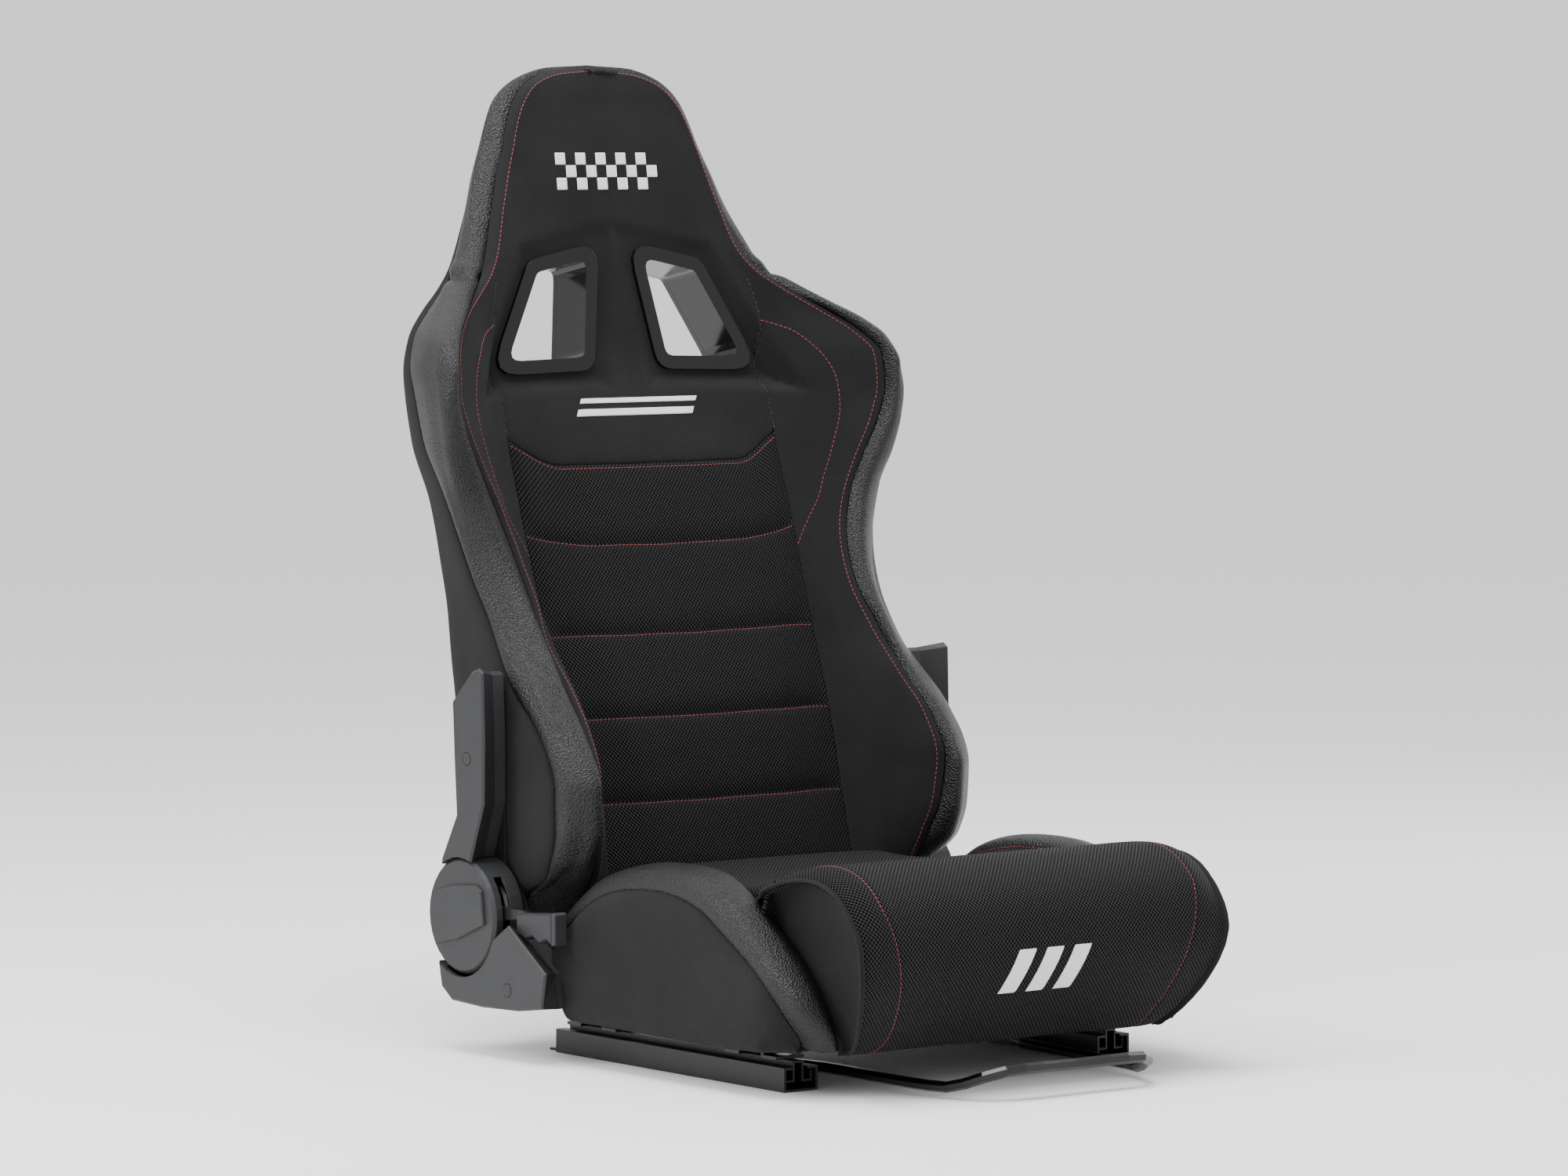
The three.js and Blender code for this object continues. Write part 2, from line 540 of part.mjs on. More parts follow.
// Serpentine springs across the back of the middle pad.
function backSpring(z) {
  const y = frontAt(z) + PAD_THICKNESS + 8;
  const points = [];
  const bends = 6;
  for (let i = 0; i <= 2 * bends; i += 1) {
    const swing = i === 0 || i === 2 * bends ? 0 : 15 * (i % 2 ? 1 : -1);
    points.push([THREE.MathUtils.lerp(-146, 146, i / (2 * bends)), y + swing * 0.33, z + swing]);
  }
  return tube(points, 1.8, 36, 4);
}
[310, 430].forEach((z, i) => add(`backrest_spring_${i + 1}`, backSpring(z), springSteel));

// ---- harness openings -----------------------------------------------------------------
const OPENING = {
  corners: [[17.5, 748.5], [37.7, 625.7], [161, 622.3], [102, 730.8]],
  slope: 0.183,                     // the rim leans back with the headrest
  rimZ: 625.7,
  rimY: 250,
};
const openingTilt = Math.atan(OPENING.slope);

// The opening's outline, drawn inwards by a distance, with round corners.
function openingOutline(inward, radius) {
  const n = OPENING.corners.length;
  const points = OPENING.corners.map(([x, z]) => new THREE.Vector2(x, (z - OPENING.rimZ) / Math.cos(openingTilt)));
  const sides = points.map((p, i) => {
    const q = points[(i + 1) % n];
    const direction = q.clone().sub(p).normalize();
    const normal = new THREE.Vector2(-direction.y, direction.x);
    return { start: p.clone().addScaledVector(normal, inward), direction };
  });
  const corners = sides.map((side, i) => {
    const previous = sides[(i + n - 1) % n];
    const between = side.start.clone().sub(previous.start);
    const t = between.cross(side.direction) / previous.direction.cross(side.direction);
    return previous.start.clone().addScaledVector(previous.direction, t);
  });
  const shape = new THREE.Shape();
  corners.forEach((corner, i) => {
    const back = corners[(i + n - 1) % n].clone().sub(corner).normalize();
    const ahead = corners[(i + 1) % n].clone().sub(corner).normalize();
    const reach = radius / Math.tan(Math.acos(back.dot(ahead)) / 2);
    const from = corner.clone().addScaledVector(back, reach);
    const to = corner.clone().addScaledVector(ahead, reach);
    if (i === 0) shape.moveTo(from.x, from.y);
    else shape.lineTo(from.x, from.y);
    shape.quadraticCurveTo(corner.x, corner.y, to.x, to.y);
  });
  shape.closePath();
  return shape;
}

// A prism of that outline across the backrest, from depth d0 to d1 behind the rim's face.
function openingPrism(inward, radius, d0, d1) {
  const turn = new THREE.Matrix4().makeBasis(
    new THREE.Vector3(1, 0, 0),
    new THREE.Vector3(0, Math.sin(openingTilt), Math.cos(openingTilt)),
    new THREE.Vector3(0, -Math.cos(openingTilt), Math.sin(openingTilt)));
  const prism = extrude(openingOutline(inward, radius), d1 - d0);
  return prism.translate(0, 0, -d1).applyMatrix4(turn).translate(0, OPENING.rimY, OPENING.rimZ);
}

const RIM_WIDTH = 13;
const WALL = 3;
const TUNNEL_DEPTH = 46;
const bezel = cut(
  joined(openingPrism(0, 20, -3, 6), openingPrism(RIM_WIDTH - WALL, 11, 3, TUNNEL_DEPTH)),
  openingPrism(RIM_WIDTH, 9.5, -10, TUNNEL_DEPTH + 10));
addPair('harness_bezel', bezel, glossPlastic);
const rearRing = cut(
  openingPrism(2, 18, TUNNEL_DEPTH + GAP, TUNNEL_DEPTH + 7),
  openingPrism(RIM_WIDTH, 9, TUNNEL_DEPTH - 10, TUNNEL_DEPTH + 20));
addPair('harness_rear_ring', rearRing, glossPlastic);
const bezelRoom = joined(
  openingPrism(-0.5, 20, -60, 6.5), openingPrism(RIM_WIDTH - WALL - 0.5, 11.5, 4, 120));
const ringRoom = openingPrism(1.4, 18.5, TUNNEL_DEPTH - 0.1, 140);

// ---- backrest padding -----------------------------------------------------------------
const hoopRoom = tube(hoopPoints, FRAME_TUBE_RADIUS + 2, 36, 6);
const SPLIT = lineThrough([[112, 148], [226, 150], [304, 154], [381, 156], [520, 158], [590, 170], [660, 176], [712, 164]]);

const PAD_HEIGHTS = [116, 128, 150, 190, 226, 304, 381, 472, 538, 600, 626, 680, 712];
function backPad() {
  const rings = PAD_HEIGHTS.map((z) => {
    const half = SPLIT(z);
    const front = frontAt(z);
    const thickness = Math.min(PAD_THICKNESS, rearAt(z) - front - 20);
    const rear = Math.min(front + thickness, z < 180 ? 122 : 1e6);
    const corner = 5;
    return [
      [-half + corner, front, z], [half - corner, front, z], [half, front + corner, z],
      [half, rear, z], [-half, rear, z], [-half, front + corner, z],
    ];
  });
  return cut(loft(rings), bezelRoom, mirrored(bezelRoom), hoopRoom);
}
add('backrest_pad', backPad(), mesh3d);

// Side bolsters: [z, crest x, crest y, outer x, outer y, rear x, rear y].
const BOLSTER = [
  [150, 208, 62, 229, 84, 226, 132],
  [164, 211, 42, 230, 62, 228, 150],
  [186, 213, 16, 231, 48, 230, 170],
  [215, 213, 4, 238, 46, 230, 190],
  [250, 212, 1, 241, 44, 228, 204],
  [300, 212, 28, 241, 66, 224, 222],
  [370, 204, 92, 235, 128, 216, 238],
  [442, 208, 142, 230, 176, 214, 250],
  [515, 230, 163, 246, 196, 226, 252],
  [580, 254, 160, 265, 196, 248, 250],
  [630, 258, 162, 268, 200, 256, 248],
  [672, 234, 190, 254, 224, 240, 250],
  [705, 196, 240, 214, 258, 200, 272],
];

function bolsterRing([z, crestX, crestY, outerX, outerY, rearX, rearY]) {
  const inner = SPLIT(z) + 0.6;
  const front = frontAt(z);
  const rear = rearAt(z) - 4;
  const lean = Math.max(0, crestX - inner);
  return [
    [inner, front + 4, z],
    [inner + 0.35 * lean, THREE.MathUtils.lerp(front, crestY, 0.45), z],
    [inner + 0.78 * lean, crestY + 8, z],
    [crestX, crestY, z],
    [THREE.MathUtils.lerp(crestX, outerX, 0.7), THREE.MathUtils.lerp(crestY, outerY, 0.35), z],
    [outerX, outerY, z],
    [Math.min(outerX, 234), Math.max(outerY + 20, 100), z],
    [rearX, rearY, z],
    [THREE.MathUtils.lerp(inner, rearX, 0.55), THREE.MathUtils.lerp(rear, rearY, 0.35), z],
    [inner, rear, z],
  ];
}
const lowerTubeRoom = rodX(FRAME_TUBE_RADIUS + 1, -260, 260, LOWER_BACK_TUBE.y, LOWER_BACK_TUBE.z, 20);
const padRoom = loft(PAD_HEIGHTS.map((z) => {
  const half = SPLIT(z) + GAP;
  return [[-half, -60, z], [half, -60, z], [half, 400, z], [-half, 400, z]];
}));
const bolster = cut(loft(BOLSTER.map(bolsterRing)), bezelRoom, hoopRoom, lowerTubeRoom, padRoom);
addPair('side_bolster', bolster, leather);

// Headrest, from the neck up.
const HEADREST = [
  [713, 163, 176], [726, 150, 168], [745, 139, 156], [780, 128, 145], [820, 115, 134],
  [860, 101, 120], [886, 84, 104], [906, 62, 82], [918, 38, 54],
];
function headrest() {
  const rings = HEADREST.map(([z, frontHalf, rearHalf]) => {
    const rear = rearAt(z) - 3;
    const front = Math.min(frontAt(z), rear - 16);
    const middle = THREE.MathUtils.lerp(front, rear, 0.55);
    return [
      [-frontHalf + 6, front, z], [frontHalf - 6, front, z], [frontHalf + 4, front + 6, z],
      [rearHalf, middle, z], [rearHalf - 8, rear - 6, z], [rearHalf - 26, rear, z],
      [-rearHalf + 26, rear, z], [-rearHalf + 8, rear - 6, z], [-rearHalf, middle, z], [-frontHalf - 4, front + 6, z],
    ];
  });
  return cut(loft(rings), hoopRoom, bezelRoom, mirrored(bezelRoom));
}
add('headrest_pad', headrest(), wovenFabric);

// Cover panel that closes the back of the seat behind the frame and springs.
function rearPanel() {
  const heights = [150, 200, 260, 343, 461, 563, 622, 700];
  const half = (z) => SPLIT(z) - 1;
  const rings = heights.map((z) => {
    const y = rearAt(z) - 3.6;
    return [[-half(z), y, z], [half(z), y, z], [half(z), y + 3.2, z], [-half(z), y + 3.2, z]];
  });
  return cut(loft(rings), hoopRoom, bezelRoom, mirrored(bezelRoom), ringRoom, mirrored(ringRoom));
}
add('backrest_rear_panel', rearPanel(), wovenFabric);

// ---- release bar under the front edge --------------------------------------------------
const BAR_PIVOT = { y: -96, z: 14 };
function releaseBar() {
  const half = [
    [150, -88, 13], [150, -120, 13], [146, -150, 13], [128, -190, 12], [122, -220, 12], [119, -300, 11],
    [116, -358, 10.5], [110, -382, 11], [101, -402, 17], [90, -418, 24], [74, -424, 27],
  ];
  const points = [...half, [0, -424, 27], ...[...half].reverse().map(([x, y, z]) => [-x, y, z])];
  return tube(points, BAR_RADIUS, 44, 7);
}
add('release_bar', releaseBar(), glossPlastic);

// Latch plate at each end of the bar: an upright strip on the inner side of the rail.
function latch() {
  const strip = alongX([
    [-118, 8], [-118, 20], [-60, 20], [-60, 8],
  ].reverse(), 155.6 + GAP, 3);
  return strip;
}
addPair('rail_latch', latch(), zincSteel);

seat.position.y = LAYOUT_TO_ORIGIN_Y;
export default seat;
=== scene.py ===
import json
import math

import bmesh
import bpy
import numpy as np
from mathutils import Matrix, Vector, noise
from mathutils.bvhtree import BVHTree


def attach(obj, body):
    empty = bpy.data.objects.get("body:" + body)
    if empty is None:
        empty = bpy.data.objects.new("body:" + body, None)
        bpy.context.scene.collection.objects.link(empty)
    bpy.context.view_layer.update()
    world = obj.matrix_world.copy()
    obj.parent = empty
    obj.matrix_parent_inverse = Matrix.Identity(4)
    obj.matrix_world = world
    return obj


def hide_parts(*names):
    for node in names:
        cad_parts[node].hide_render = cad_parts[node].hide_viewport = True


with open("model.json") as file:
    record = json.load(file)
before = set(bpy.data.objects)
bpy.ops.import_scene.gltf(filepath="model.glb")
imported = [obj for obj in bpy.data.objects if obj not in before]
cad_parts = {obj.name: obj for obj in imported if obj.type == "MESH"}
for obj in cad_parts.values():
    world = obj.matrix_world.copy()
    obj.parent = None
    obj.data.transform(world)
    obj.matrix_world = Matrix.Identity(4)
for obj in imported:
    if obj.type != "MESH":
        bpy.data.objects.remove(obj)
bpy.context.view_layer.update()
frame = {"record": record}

# Shapes are laid out in millimetres. The CAD frame is in metres, with its origin further forward.
MM = 0.001
FRAME_FORWARD = 48.0
BACK, CARRIAGE = "backrest", "carriage"         # the bodies that the covers ride on
SIDES = ((1, "left"), (-1, "right"))            # the sitter's left is at +X
MIRROR = np.array([-1.0, 1.0, 1.0])
TINY = 1e-6
HAIR = 1e-9                                     # keeps a spline's last point inside its last stretch


def in_frame(p):
    return Vector((p[0] * MM, (p[1] + FRAME_FORWARD) * MM, p[2] * MM))


def ease(w):
    """Smooth step from 0 to 1."""
    return w * w * (3 - 2 * w)


# ---- camera ----
AZIMUTH = math.radians(-37.5)
ELEVATION = math.radians(3.694)
DISTANCE = 6.4027
TARGET = Vector((0.0, 0.048, 0.4286))
LENS_MM, SENSOR_MM = 157.55, 36.0

camera_data = bpy.data.cameras.new("camera")
camera_data.lens = LENS_MM
camera_data.sensor_width = SENSOR_MM
camera = bpy.data.objects.new("camera", camera_data)
bpy.context.scene.collection.objects.link(camera)
camera.location = TARGET + DISTANCE * Vector((
    math.sin(AZIMUTH) * math.cos(ELEVATION),
    -math.cos(AZIMUTH) * math.cos(ELEVATION),
    math.sin(ELEVATION)))
camera.rotation_euler = (TARGET - camera.location).to_track_quat("-Z", "Y").to_euler()
bpy.context.scene.camera = camera


# ---- materials ----
class Nodes:
    """A material's node tree with short calls for the nodes used here."""

    def __init__(self, name, color, roughness, **sockets):
        self.material = bpy.data.materials.new(name)
        self.material.use_nodes = True
        self.tree = self.material.node_tree
        self.shader = self.tree.nodes["Principled BSDF"]
        self.shader.inputs["Base Color"].default_value = (*color, 1)
        self.shader.inputs["Roughness"].default_value = roughness
        for socket, value in sockets.items():
            self.shader.inputs[socket.replace("_", " ")].default_value = value

    def add(self, kind, **settings):
        node = self.tree.nodes.new(kind)
        for key, value in settings.items():
            setattr(node, key, value)
        return node

    def link(self, out, into):
        self.tree.links.new(out, into)

    def math(self, operation, a, b=None):
        node = self.add("ShaderNodeMath", operation=operation)
        for i, value in enumerate((a, b)):
            if value is None:
                continue
            if isinstance(value, (int, float)):
                node.inputs[i].default_value = value
            else:
                self.link(value, node.inputs[i])
        return node.outputs[0]

    def vector(self, operation, a, b=None):
        node = self.add("ShaderNodeVectorMath", operation=operation)
        self.link(a, node.inputs[0])
        if b is not None:
            node.inputs[1].default_value = b
        return node.outputs["Value"] if operation == "LENGTH" else node.outputs[0]

    def uv(self):
        return self.add("ShaderNodeUVMap", uv_map="cloth").outputs[0]

    def place(self):
        return self.add("ShaderNodeTexCoord").outputs["Object"]

    def noise(self, scale, detail=2.0, source=None):
        node = self.add("ShaderNodeTexNoise")
        node.inputs["Scale"].default_value = scale
        node.inputs["Detail"].default_value = detail
        self.link(source or self.place(), node.inputs["Vector"])
        return node.outputs["Fac"]

    def cells(self, scale, source=None):
        node = self.add("ShaderNodeTexVoronoi")
        node.inputs["Scale"].default_value = scale
        self.link(source or self.place(), node.inputs["Vector"])
        return node.outputs["Distance"]

    def soft_edges(self, radius):
        """A normal that rounds the piece's sharp edges off."""
        edge = self.add("ShaderNodeBevel", samples=4)
        edge.inputs["Radius"].default_value = radius
        return edge.outputs[0]

    def ramp(self, value, low, high, a, b):
        """The value's range low to high, spread over a to b."""
        node = self.add("ShaderNodeMapRange")
        self.link(value, node.inputs["Value"])
        for socket, number in (("From Min", low), ("From Max", high), ("To Min", a), ("To Max", b)):
            node.inputs[socket].default_value = number
        return node.outputs[0]

    def tint(self, value, dark, light):
        """Base colour from dark to light as the value goes from 0 to 1."""
        node = self.add("ShaderNodeMix", data_type="RGBA")
        self.link(value, node.inputs["Factor"])
        node.inputs["A"].default_value = (*dark, 1)
        node.inputs["B"].default_value = (*light, 1)
        self.link(node.outputs["Result"], self.shader.inputs["Base Color"])

    def bump(self, height, distance, strength=1.0, under=None):
        node = self.add("ShaderNodeBump")
        node.inputs["Distance"].default_value = distance
        node.inputs["Strength"].default_value = strength
        self.link(height, node.inputs["Height"])
        if under is not None:
            self.link(under, node.inputs["Normal"])
        self.link(node.outputs[0], self.shader.inputs["Normal"])
        return node.outputs[0]


def woven_fabric():
    """Fine cloth of two crossing threads with a little fuzz."""
    warp_pitch, weft_pitch = 0.0016, 0.0012
    m = Nodes("woven_fabric", (0.02, 0.02, 0.021), 0.85,
              Sheen_Weight=0.04, Sheen_Roughness=0.5, Specular_IOR_Level=0.1)
    split = m.add("ShaderNodeSeparateXYZ")
    m.link(m.uv(), split.inputs[0])
    across = m.math("SINE", m.math("MULTIPLY", split.outputs[0], 2 * math.pi / warp_pitch))
    along = m.math("SINE", m.math("MULTIPLY", split.outputs[1], 2 * math.pi / weft_pitch))
    weave = m.math("MULTIPLY", across, along)
    fuzz = m.noise(1400, 2)
    height = m.math("ADD", m.math("MULTIPLY", weave, 0.5), m.math("MULTIPLY", fuzz, 0.9))
    # The colour is partly random tone and partly painted shade: where the weave and fuzz sit low, between
    # the threads, the cloth is painted darker.
    tone = m.math("ADD", m.math("MULTIPLY", m.noise(14, 3), 0.5), m.math("MULTIPLY", height, 0.35))
    m.tint(m.ramp(tone, 0.1, 0.9, 0, 1), (0.005, 0.005, 0.0055), (0.023, 0.023, 0.0247))
    m.bump(height, 0.0007, 0.85)
    return m.material


def spacer_mesh():
    """Thick mesh with rows of oval holes, every other row shifted by half a step."""
    pitch = (0.0041, 0.0046, 1.0)
    oval = (0.0041, 0.0033, 0)
    hole_radius, rib_from = 0.0006, 0.0014
    m = Nodes("spacer_mesh", (0.02, 0.02, 0.021), 0.6,
              Sheen_Weight=0.03, Sheen_Roughness=0.5, Specular_IOR_Level=0.2)
    cell = m.vector("DIVIDE", m.uv(), pitch)

    def hole(shift):
        centred = m.vector("SUBTRACT", m.vector("FRACTION", m.vector("ADD", cell, shift)), (0.5, 0.5, 0))
        return m.vector("LENGTH", m.vector("MULTIPLY", centred, oval))

    distance = m.math("MINIMUM", hole((0, 0, 0)), hole((0.5, 0.5, 0)))
    rib = m.ramp(distance, hole_radius, rib_from, 0, 1)
    fuzz = m.noise(1800, 2)
    # Painted shade: the holes are painted near-black, and the line after the tint takes their reflection
    # away, in place of the shade inside them. The ribs keep random tone.
    tone = m.math("MULTIPLY", rib, m.ramp(fuzz, 0.3, 0.7, 0.55, 1.0))
    m.tint(tone, (0.0005, 0.0005, 0.0005), (0.023, 0.023, 0.0243))
    m.link(m.ramp(rib, 0, 1, 0.0, 0.14), m.shader.inputs["Specular IOR Level"])
    m.bump(m.math("ADD", rib, m.math("MULTIPLY", fuzz, 0.2)), 0.0014, 0.9)
    return m.material


def leather():
    """Grained imitation leather, a little shinier in places."""
    m = Nodes("leather", (0.008, 0.0084, 0.0092), 0.4, Specular_IOR_Level=0.36)
    grain = m.cells(560)
    fine = m.noise(2200, 2)
    height = m.math("ADD", m.math("MULTIPLY", grain, 1.2), m.math("MULTIPLY", fine, 0.3))
    m.tint(m.ramp(grain, 0.1, 0.7, 1, 0), (0.0025, 0.0027, 0.0032), (0.0065, 0.0069, 0.008))
    m.link(m.ramp(m.noise(30, 3), 0.3, 0.7, 0.34, 0.44), m.shader.inputs["Roughness"])
    m.bump(height, 0.0011, 0.75)
    return m.material


def satin_plastic():
    m = Nodes("satin_plastic", (0.04, 0.041, 0.042), 0.5, Specular_IOR_Level=0.3)
    m.tint(m.noise(60, 4), (0.018, 0.0186, 0.02), (0.025, 0.0257, 0.027))
    m.bump(m.noise(1500, 2), 0.0003, 0.45, under=m.soft_edges(0.0012))
    return m.material


def gloss(name, color, roughness):
    m = Nodes(name, color, roughness, Specular_IOR_Level=0.3, Coat_Weight=0.12, Coat_Roughness=0.05)
    m.tint(m.noise(25, 2), color, tuple(1.35 * c for c in color))
    m.bump(m.noise(220, 2), 0.00008, 0.5, under=m.soft_edges(0.001))
    return m.material


def black_steel():
    m = Nodes("black_steel", (0.008, 0.008, 0.009), 0.42, Specular_IOR_Level=0.4)
    m.tint(m.noise(90, 4), (0.005, 0.005, 0.0055), (0.011, 0.011, 0.012))
    m.bump(m.noise(1100, 2), 0.0002, 0.4, under=m.soft_edges(0.0006))
    return m.material


def bare_metal(name, color, roughness):
    m = Nodes(name, color, roughness, Metallic=1.0)
    m.tint(m.noise(120, 4), tuple(0.8 * c for c in color), color)
    m.bump(m.noise(900, 3), 0.0001, 0.4)
    return m.material


def nylon():
    m = Nodes("nylon", (0.6, 0.59, 0.54), 0.5)
    m.tint(m.noise(60, 3), (0.5, 0.49, 0.44), (0.66, 0.65, 0.6))
    m.bump(m.noise(700, 2), 0.0001, 0.4)
    return m.material


def thread(name, color):
    m = Nodes(name, color, 0.6, Sheen_Weight=0.3, Specular_IOR_Level=0.4)
    m.tint(m.noise(900, 2), tuple(0.55 * c for c in color), color)
    m.bump(m.noise(2400, 1), 0.0003, 0.6)
    return m.material


MATERIALS = {
    "woven_fabric": woven_fabric(),
    "spacer_mesh": spacer_mesh(),
    "leather": leather(),
    "satin_plastic": satin_plastic(),
    "gloss_trim": gloss("gloss_trim", (0.002, 0.0023, 0.0032), 0.16),
    "gloss_bar": gloss("gloss_bar", (0.001, 0.001, 0.0012), 0.2),
    "black_steel": black_steel(),
    "spring_steel": bare_metal("spring_steel", (0.3, 0.31, 0.33), 0.35),
    "zinc_steel": bare_metal("zinc_steel", (0.16, 0.165, 0.175), 0.32),
    "nylon": nylon(),
    "red_thread": thread("red_thread", (0.3, 0.014, 0.02)),
    "black_thread": thread("black_thread", (0.004, 0.004, 0.004)),
    "white_thread": thread("white_thread", (0.95, 0.95, 0.97)),
}

# Each CAD piece wears the material that its record entry names.
for entry in frame["record"]["subparts"]:
    cad = bpy.data.objects.get(entry["node"])
    finish = MATERIALS[entry["material_slot"]]
    for slot in cad.material_slots:
        slot.material = finish
    if not cad.material_slots:
        cad.data.materials.append(finish)


# ---- curves and surfaces ----
def curve(rows):
    """Smooth values through rows of (key, value...), with no overshoot between them."""
    rows = sorted(rows)
    key = np.array([r[0] for r in rows], float)
    value = np.array([r[1:] for r in rows], float)
    step = np.diff(key)[:, None]
    slope = np.diff(value, axis=0) / step
    tangent = np.zeros_like(value)
    tangent[0], tangent[-1] = slope[0], slope[-1]
    for i in range(1, len(rows) - 1):
        a, b = slope[i - 1], slope[i]
        same = a * b > 0
        wa, wb = 2 * step[i] + step[i - 1], step[i] + 2 * step[i - 1]
        safe_a, safe_b = np.where(same, a, 1), np.where(same, b, 1)
        tangent[i] = np.where(same, (wa + wb) / (wa / safe_a + wb / safe_b), 0)

    def at(query):
        query = np.asarray(query, float)
        flat = np.clip(query.ravel(), key[0], key[-1])
        i = np.clip(np.searchsorted(key, flat, side="right") - 1, 0, len(key) - 2)
        h = step[i]
        t = (flat - key[i])[:, None] / h
        out = ((2 * t**3 - 3 * t**2 + 1) * value[i] + (t**3 - 2 * t**2 + t) * h * tangent[i]
               + (3 * t**2 - 2 * t**3) * value[i + 1] + (t**3 - t**2) * h * tangent[i + 1])
        return out.reshape(query.shape + (value.shape[1],))
    return at


def spline(points, s):
    """Centripetal Catmull-Rom: points (n, k, 3) with one extra at each end, s (n, m) from 0."""
    k = np.clip(np.floor(s).astype(int), 0, points.shape[1] - 4)
    u = (s - k)[..., None]
    p = [np.take_along_axis(points, (k + i)[..., None], axis=1) for i in range(4)]
    gap = [np.maximum(np.linalg.norm(b - a, axis=-1, keepdims=True), TINY) ** 0.5 for a, b in zip(p, p[1:])]
    t0, t1 = np.zeros_like(gap[0]), gap[0]
    t2 = t1 + gap[1]
    t3 = t2 + gap[2]
    t = t1 + u * (t2 - t1)
    a1 = ((t1 - t) * p[0] + (t - t0) * p[1]) / (t1 - t0)
    a2 = ((t2 - t) * p[1] + (t - t1) * p[2]) / (t2 - t1)
    a3 = ((t3 - t) * p[2] + (t - t2) * p[3]) / (t3 - t2)
    b1 = ((t2 - t) * a1 + (t - t0) * a2) / (t2 - t0)
    b2 = ((t3 - t) * a2 + (t - t1) * a3) / (t3 - t1)
    return ((t2 - t) * b1 + (t - t1) * b2) / (t2 - t1)


def open_line(points, count):
    """A smooth line through a list of points."""
    control = np.array(points, float)
    before, after = 2 * control[:1] - control[1:2], 2 * control[-1:] - control[-2:-1]
    s = np.linspace(0, len(points) - 1, count)[None, :]
    s[0, -1] -= HAIR
    return spline(np.concatenate([before, control, after])[None], s)[0]


def walked_along(line, share):
    """Points at given shares (0 to 1) of a line's length, and that length."""
    place = arcs(line[:, None], 0)[:, 0]
    points = [np.interp(share * place[-1], place, line[:, k]) for k in range(3)]
    return np.stack(points, axis=1), place[-1]


def arcs(grid, axis):
    """Distance walked along one axis of a grid of points, from its first row."""
    step = np.linalg.norm(np.diff(grid, axis=axis), axis=-1)
    start = np.zeros_like(np.take(step, [0], axis=axis))
    return np.concatenate([start, np.cumsum(step, axis=axis)], axis=axis)


def normals(grid):
    """Unit normals of a grid of points, on the side that the grid faces."""
    along = np.gradient(grid, axis=0)
    across = np.gradient(grid, axis=1)
    n = np.cross(across, along)
    size = np.linalg.norm(n, axis=-1, keepdims=True)
    return n / np.maximum(size, 1e-9)


def wobble(grid, scale, seed):
    """Smooth noise, -1 to 1, of a given size in millimetres over a grid of points."""
    flat = grid.reshape(-1, 3) / scale + seed
    return np.array([noise.noise(Vector(p)) for p in flat]).reshape(grid.shape[:2])


# ---- pieces ----
skins = []          # the outer faces of the covers, which the stitches and marks lie on


def new_object(name, vertices, faces, slot, body, uvs=None):
    mesh = bpy.data.meshes.new(name)
    mesh.from_pydata([in_frame(v) for v in vertices], [], faces)
    if uvs is not None:
        layer = mesh.uv_layers.new(name="cloth")
        loops = np.empty(len(mesh.loops), int)
        mesh.loops.foreach_get("vertex_index", loops)
        layer.data.foreach_set("uv", np.asarray(uvs, np.float32)[loops].ravel())
    mesh.polygons.foreach_set("use_smooth", [True] * len(mesh.polygons))
    piece = bpy.data.objects.new(name, mesh)
    bpy.context.scene.collection.objects.link(piece)
    mesh.materials.append(MATERIALS[slot])
    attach(piece, body)
    return piece


def apply_modifiers(piece):
    bpy.context.view_layer.update()
    graph = bpy.context.evaluated_depsgraph_get()
    mesh = bpy.data.meshes.new_from_object(piece.evaluated_get(graph))
    piece.modifiers.clear()
    old = piece.data
    piece.data = mesh
    bpy.data.meshes.remove(old)


EDGE_WELD = 0.9         # panels whose edges come this near are one piece of cloth
POINT_WELD = 0.01       # points that coincide


def cover(name, grids, slot, body, thickness=3.0, mirror=False, cutters=()):
    """A sewn cover over foam: grids of outer points, facing outwards, thickened inwards."""
    vertices, faces, uvs = [], [], []
    for grid in grids if isinstance(grids, list) else [grids]:
        nv, nu = grid.shape[:2]
        if mirror:
            grid = grid * MIRROR
        u = arcs(grid, 1)
        symmetric = not mirror and abs(grid[0, 0, 0] + grid[0, -1, 0]) < 1e-3
        u = u - u[:, nu // 2][:, None] if symmetric else u
        middle = np.broadcast_to(arcs(grid, 0)[:, nu // 2][:, None], u.shape)
        uvs.append(np.stack([u * MM, middle * MM], axis=-1).reshape(-1, 2))
        base = sum(len(v) for v in vertices)
        vertices.append(grid.reshape(-1, 3))
        for i in range(nv - 1):
            for j in range(nu - 1):
                a = base + i * nu + j
                quad = (a, a + 1, a + nu + 1, a + nu)
                faces.append(quad if not mirror else quad[::-1])
    vertices = np.concatenate(vertices)
    skins.append((vertices, faces))
    piece = new_object(name, vertices, faces, slot, body, np.concatenate(uvs))
    clean = bmesh.new()
    clean.from_mesh(piece.data)
    rims = [v for v in clean.verts if v.is_boundary]
    bmesh.ops.remove_doubles(clean, verts=rims, dist=EDGE_WELD * MM)
    bmesh.ops.remove_doubles(clean, verts=clean.verts, dist=POINT_WELD * MM)
    bmesh.ops.dissolve_degenerate(clean, edges=clean.edges, dist=POINT_WELD * MM)
    clean.to_mesh(piece.data)
    clean.free()
    shell = piece.modifiers.new("thickness", "SOLIDIFY")
    shell.thickness = thickness * MM
    shell.offset = -1
    for cutter in cutters:
        hole = piece.modifiers.new("hole", "BOOLEAN")
        hole.operation = "DIFFERENCE"
        hole.solver = "EXACT"
        hole.object = cutter
    apply_modifiers(piece)
    return piece


